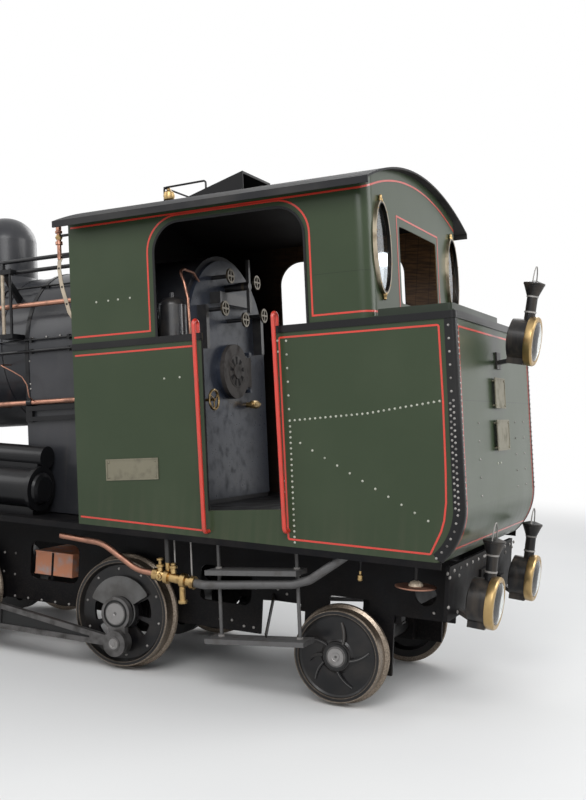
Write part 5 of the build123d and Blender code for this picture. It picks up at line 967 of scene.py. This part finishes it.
# Bars and thin pipes beside the firebox, valves in the cab, pieces under the footplate
fireside = {"barY": 1.045, "barWidth": 0.030, "barThick": 0.006, "columnS": -0.103, "postY": 0.760,
            "oilY": 0.780}
creamParts, pinkParts, blackParts, brassParts = Shape(), Shape(), Shape(), Shape()
for side in (1, -1):
    out = leftward * side
    barY = side * fireside["barY"]
    bar = ((-0.081, 1.970), (-0.105, 1.928), (-0.108, 1.868), (-0.098, 1.793), (-0.083, 1.717),
           (-0.060, 1.641), (-0.033, 1.550), (0.002, 1.500))
    line = roundCorners([raked(s, h, barY) for s, h in bar], 0.03, 3)
    creamParts.ribbon([(point, out) for point in line], fireside["barWidth"], fireside["barThick"])
    for s, h in ((-0.1085, 1.880), (-0.088, 1.740), (-0.051, 1.610)):
        blackParts.rod(0.004, 0.0066, 0.0085, raked(s, h, barY), out, 14)
    column = raked(fireside["columnS"], 0.0, barY)
    pinkParts.lathe(((1.945, 0.016), (2.052, 0.016), (2.056, 0.027), (2.078, 0.027), (2.082, 0.017),
                     (2.138, 0.017), (2.142, 0.027), (2.156, 0.027), (2.160, 0.021), (2.238, 0.021),
                     (2.240, 0.0)), column, squareUp, 20)
    brassParts.lathe(((-0.026, 0.0), (-0.018, 0.019), (0.0, 0.028), (0.018, 0.019), (0.026, 0.0)),
                     raked(fireside["columnS"], 2.110, barY), squareUp, 20)
    for h in (1.960, 2.120):  # brackets to the cab's front wall
        blackParts.box(raked(-0.050, h, barY), (0.110, 0.012, 0.018), rakedTurn)
    # thin pipes along the casing and the barrel, each end let in
    for y, h, radius, last, sink in ((0.440, 1.874, 0.009, -1.08, (0.440, 1.795)),
                                     (0.695, 1.415, 0.007, -0.98, (0.590, 1.415)),
                                     (0.700, 1.325, 0.012, -1.02, (0.590, 1.325))):
        points = [raked(0.004, h, side * y), raked(last, h, side * y),
                  raked(last - 0.05, sink[1], side * sink[0])]
        blackParts.tube(roundCorners(points, 0.04, 6), radius, 10)
    for s in (-0.30, -0.66):  # their clips on the casing
        for h, reach in ((1.415, 0.022), (1.325, 0.026)):
            y = casing["half"] + reach / 2 - 0.002
            blackParts.box(raked(s, h, side * y), (0.022, reach + 0.004, 0.036), rakedTurn)
        blackParts.box(raked(s, 1.862, side * 0.437), (0.022, 0.030, 0.034), rakedTurn)
    # gauge post by the first boiler ring, from a bracket up to the handrail
    postY = side * fireside["postY"]
    creamParts.rod(1.46, 1.955, 0.014, raked(-0.865, 0.0, postY), squareUp, 16)
    blackParts.rod(1.45, 1.985, 0.012, raked(-0.790, 0.0, postY), squareUp, 14)
    blackParts.box(raked(-0.828, 1.450, side * 0.685), (0.120, 0.200, 0.036), rakedTurn)
    blackParts.box(raked(-0.828, 1.960, side * 0.735), (0.120, 0.090, 0.036), rakedTurn)
    # a thin oil pipe down to the lower side pipe, and the clamp there
    oilY = fireside["oilY"]
    oil = ((-0.935, 1.240, 0.595), (-0.900, 1.230, oilY), (-0.786, 1.174, oilY), (-0.691, 1.121, oilY),
           (-0.646, 1.056, oilY), (-0.631, 0.961, oilY), (-0.628, 0.925, 0.712))
    pinkParts.tube(roundCorners([raked(s, h, side * y) for s, h, y in oil], 0.03, 5), 0.005, 8)
    blackParts.rod(-0.022, 0.022, 0.027, raked(-0.680, 0.920, side * 0.706), backAlong, 20)
    # brace under the steps, the dish and the drain under the bunker
    brace = [Vector((-1.62, side * 0.935, 0.440)), Vector((-1.52, side * 0.612, 0.660))]
    blackParts.ribbon([(point, Vector((-1, 0, 0))) for point in brace], 0.038, 0.009)
    dish, drain = Vector((-2.660, side * 0.900, 0.887)), Vector((-2.275, side * 0.900, 0.913))
    pinkParts.lathe(((0.0, 0.132), (0.004, 0.136), (0.010, 0.136), (0.012, 0.131)), dish, upward, 40)
    creamParts.lathe(((0.010, 0.050), (0.024, 0.046), (0.038, 0.034), (0.046, 0.018), (0.048, 0.0)), dish,
                     upward, 28)
    blackParts.rod(0.040, 0.205, 0.011, dish, upward, 10)
    brassParts.lathe(((-0.026, 0.012), (-0.018, 0.018), (0.012, 0.018), (0.018, 0.009), (0.040, 0.009)),
                     drain, upward, 18)
    blackParts.rod(0.034, 0.170, 0.007, drain, upward, 10)
band = [(casing["half"], casing["bandFoot"], 1.0, 0.0)]
for t in (pi * k / 32 for k in range(33)):
    across, rise = cos(t), sin(t)
    band.append((casing["half"] * across, casing["crownH"] + casing["half"] * rise, across, rise))
band.append((-casing["half"], casing["bandFoot"], -1.0, 0.0))
blackParts.ribbon([(raked(casing["bandS"], h, y), leftward * ny + squareUp * nh) for y, h, ny, nh in band],
                  casing["bandWidth"], casing["bandThick"])
# in the cab: a ring handle, the blow valve under the fire door, the reservoir's pipe to the backhead
ringCentre = raked(0.900, 0.860, 0.600)


def ringSpot(degrees, reach):
    t = radians(degrees)
    return ringCentre + (leftward * cos(t) + squareUp * sin(t)) * reach


brassParts.tube([ringSpot(360 * k / 32, 0.072) for k in range(32)], 0.009, 10, True)
for degrees in (30, 150, 270):
    brassParts.tube([ringCentre, ringSpot(degrees, 0.070)], 0.006, 8)
brassParts.tube([raked(0.722, 0.860, 0.600), raked(0.910, 0.860, 0.600)], 0.011, 12)
brassParts.lathe(((0.0, 0.016), (0.030, 0.016), (0.034, 0.030), (0.052, 0.034), (0.112, 0.034),
                  (0.128, 0.030), (0.132, 0.016), (0.166, 0.016)), raked(0.800, 0.838, -0.202), -leftward, 20)
brassParts.tube([raked(0.722, 0.838, -0.285), raked(0.800, 0.838, -0.285)], 0.022, 14)
supply = ((0.790, 1.262, 0.800), (0.835, 1.300, 0.800), (0.825, 1.600, 0.800), (0.800, 1.720, 0.800),
          (0.760, 1.800, 0.780), (0.745, 1.830, 0.700), (0.742, 1.820, 0.550), (0.722, 1.770, 0.440))
pinkParts.tube(roundCorners([raked(s, h, y) for s, h, y in supply], 0.05, 6), 0.011, 12)
for shape, name, material, slot in ((creamParts, "cream_bars", creamBar, "brass"),
                                    (pinkParts, "small_copper", copper, "copper"),
                                    (blackParts, "small_black_iron", beltBlack, "black"),
                                    (brassParts, "small_brass", brass, "brass")):
    shape.finish(name, material, engine, slot)
hotBox = Shape()
for z, length, width, height in ((0.673, 0.351, 1.172, 0.165), (0.586, 0.361, 1.175, 0.010),
                                 (0.760, 0.361, 1.175, 0.010)):
    hotBox.box((0.409, 0.0, z), (length, width, height))
hotBox.finish("ashpan_front_box", emberIron, engine, "iron")

# Draught slots on the fire door, curved ribs on the trailing wheels with a painted highlight along each rib's
# top
vents = {"faceS": 0.791, "middleH": 1.098, "inner": 0.036, "outer": 0.118, "count": 9, "innerHalf": 4,
         "outerHalf": 9}
slots, boss = Shape(), Shape()
boss.lathe(((-0.002, 0.128), (0.0035, 0.128), (0.0050, 0.124), (0.0050, 0.030), (-0.002, 0.030),
            (-0.002, 0.128)), raked(vents["faceS"], vents["middleH"]), backAlong, 48)
for turn in range(vents["count"]):
    middle = 360 / vents["count"] * turn + 90
    corners = []
    for lift in (0.0045, 0.0062):
        for reach, half in ((vents["inner"], -vents["innerHalf"]), (vents["outer"], -vents["outerHalf"]),
                            (vents["outer"], vents["outerHalf"]), (vents["inner"], vents["innerHalf"])):
            t = radians(middle + half)
            corners.append(raked(vents["faceS"] + lift, vents["middleH"] + reach * sin(t), reach * cos(t)))
    slots.add(corners, ((0, 1, 2, 3), (4, 5, 6, 7), (0, 1, 5, 4), (1, 2, 6, 5), (2, 3, 7, 6), (3, 0, 4, 7)))
boss.finish("fire_door_disc", castGrey, "fire_door", "iron")
slots.finish("fire_door_slots", underBlack, "fire_door", "black")

ribs = {"count": 5, "firstTurn": 63, "swirl": 22, "inner": 0.100, "outer": 0.232, "webY": 0.797,
        "sink": 0.022, "width": 0.020, "height": 0.026, "highlight": 0.006}
trailingX, trailingZ = wheelTable[2][1:3]
swirls, ribHighlights = Shape(), Shape()
for side in (1, -1):
    for turn in range(ribs["count"]):
        path = []
        for k in range(9):
            along = k / 8
            t = radians(ribs["firstTurn"] + 360 / ribs["count"] * turn + ribs["swirl"] * along)
            reach = ribs["inner"] + (ribs["outer"] - ribs["inner"]) * along
            path.append((Vector((trailingX - reach * cos(t), side * (ribs["webY"] - ribs["sink"] * along),
                                 trailingZ + reach * sin(t))), leftward * side))
        swirls.ribbon(path, ribs["width"], ribs["height"])
        # painted highlight: a thin strip of oiled steel along each rib's top stands in for the light caught
        # on the black ribs
        ribHighlights.ribbon(path, ribs["highlight"], ribs["height"] + 0.001)
swirls.finish("trailing_wheel_ribs", lampBlack, "axle_trailing", "black")
ribHighlights.finish("trailing_wheel_rib_highlights", rodSteel, "axle_trailing", "steel")
print("small fittings made")

# Camera, light and floor
view = {"place": (-4.7255, 7.6183, 2.1031), "turn": (89.6694, -2.6819, -155.9503), "lens": 48.57,
        "sensor": 36.0}
cameraData = bpy.data.cameras.new("camera")
cameraData.sensor_fit, cameraData.sensor_height = "VERTICAL", view["sensor"]
cameraData.lens, cameraData.clip_end = view["lens"], 200.0
camera = linked("camera", cameraData)
camera.location = view["place"]
camera.rotation_euler = Euler([radians(angle) for angle in view["turn"]], "XYZ")
bpy.context.scene.camera = camera

lights = {"sky": 0.40, "backdrop": 1.0,
          "lamps": (("key", (-4.0, 9.0, 8.0), 6.0, 720.0), ("front", (9.0, 6.0, 7.0), 6.0, 330.0),
                    ("rear", (-9.0, -2.0, 6.0), 5.0, 400.0), ("right", (1.0, -9.0, 7.0), 6.0, 330.0))}
world = bpy.data.worlds.new("studio")
world.use_nodes = True
nodes, links = world.node_tree.nodes, world.node_tree.links
nodes.clear()
path = nodes.new("ShaderNodeLightPath")
seen, seenAll = nodes.new("ShaderNodeMath"), nodes.new("ShaderNodeMath")
seen.operation = seenAll.operation = "MAXIMUM"
soft, white = nodes.new("ShaderNodeBackground"), nodes.new("ShaderNodeBackground")
blend, worldOut = nodes.new("ShaderNodeMixShader"), nodes.new("ShaderNodeOutputWorld")
for ground, tone, strength in ((soft, (0.93, 0.96, 1.0), lights["sky"]),
                               (white, (1, 1, 1), lights["backdrop"])):
    ground.inputs["Color"].default_value, ground.inputs["Strength"].default_value = (*tone, 1.0), strength
for output, socket in ((path.outputs["Is Camera Ray"], seen.inputs[0]),
                       (path.outputs["Is Glossy Ray"], seen.inputs[1]), (seen.outputs[0], seenAll.inputs[0]),
                       (path.outputs["Is Transmission Ray"], seenAll.inputs[1]),
                       (seenAll.outputs[0], blend.inputs["Fac"]), (soft.outputs[0], blend.inputs[1]),
                       (white.outputs[0], blend.inputs[2]), (blend.outputs[0], worldOut.inputs["Surface"])):
    links.new(output, socket)
bpy.context.scene.world = world
for name, spot, size, power in lights["lamps"]:
    data = bpy.data.lights.new(name, "AREA")
    data.size, data.energy = size, power
    lamp = linked(name, data)
    lamp.location = spot
    lamp.rotation_euler = (Vector((0, 0, 1.4)) - Vector(spot)).to_track_quat("-Z", "Y").to_euler()
floorMesh = bpy.data.meshes.new("floor")
floorMesh.from_pydata([(-60, -60, 0), (60, -60, 0), (60, 60, 0), (-60, 60, 0)], [], [(0, 1, 2, 3)])
floorFinish = Finish("studio floor", roughness=0.85)
floorFinish.feed(color=floorFinish.mix(floorFinish.noise(0.8, 2.0), (0.76, 0.76, 0.76), (0.80, 0.80, 0.79)))
spread = floorFinish.node("ShaderNodeVectorMath", {"operation": "LENGTH"}, [floorFinish.place], "Value")
glow = floorFinish.node("ShaderNodeEmission", {}, {"Color": (1, 1, 1), "Strength": 1.0})
viewed = floorFinish.node("ShaderNodeLightPath", {}, [], "Is Camera Ray")
mirrored = floorFinish.node("ShaderNodeLightPath", {}, [], "Is Glossy Ray")
blendOut = floorFinish.node("ShaderNodeMixShader", {},
                            {0: spread.fade(6.5, 17.0) * viewed.over(mirrored), 2: glow})
floorFinish.tree.links.new(floorFinish.shader.outputs[0], blendOut.socket.node.inputs[1])
floorFinish.tree.links.new(blendOut.socket, floorFinish.output.inputs[0])
floorMesh.materials.append(floorFinish.material)
floor = linked("floor", floorMesh)
bpy.context.scene.view_settings.view_transform = "Standard"
print("camera, light and floor set")
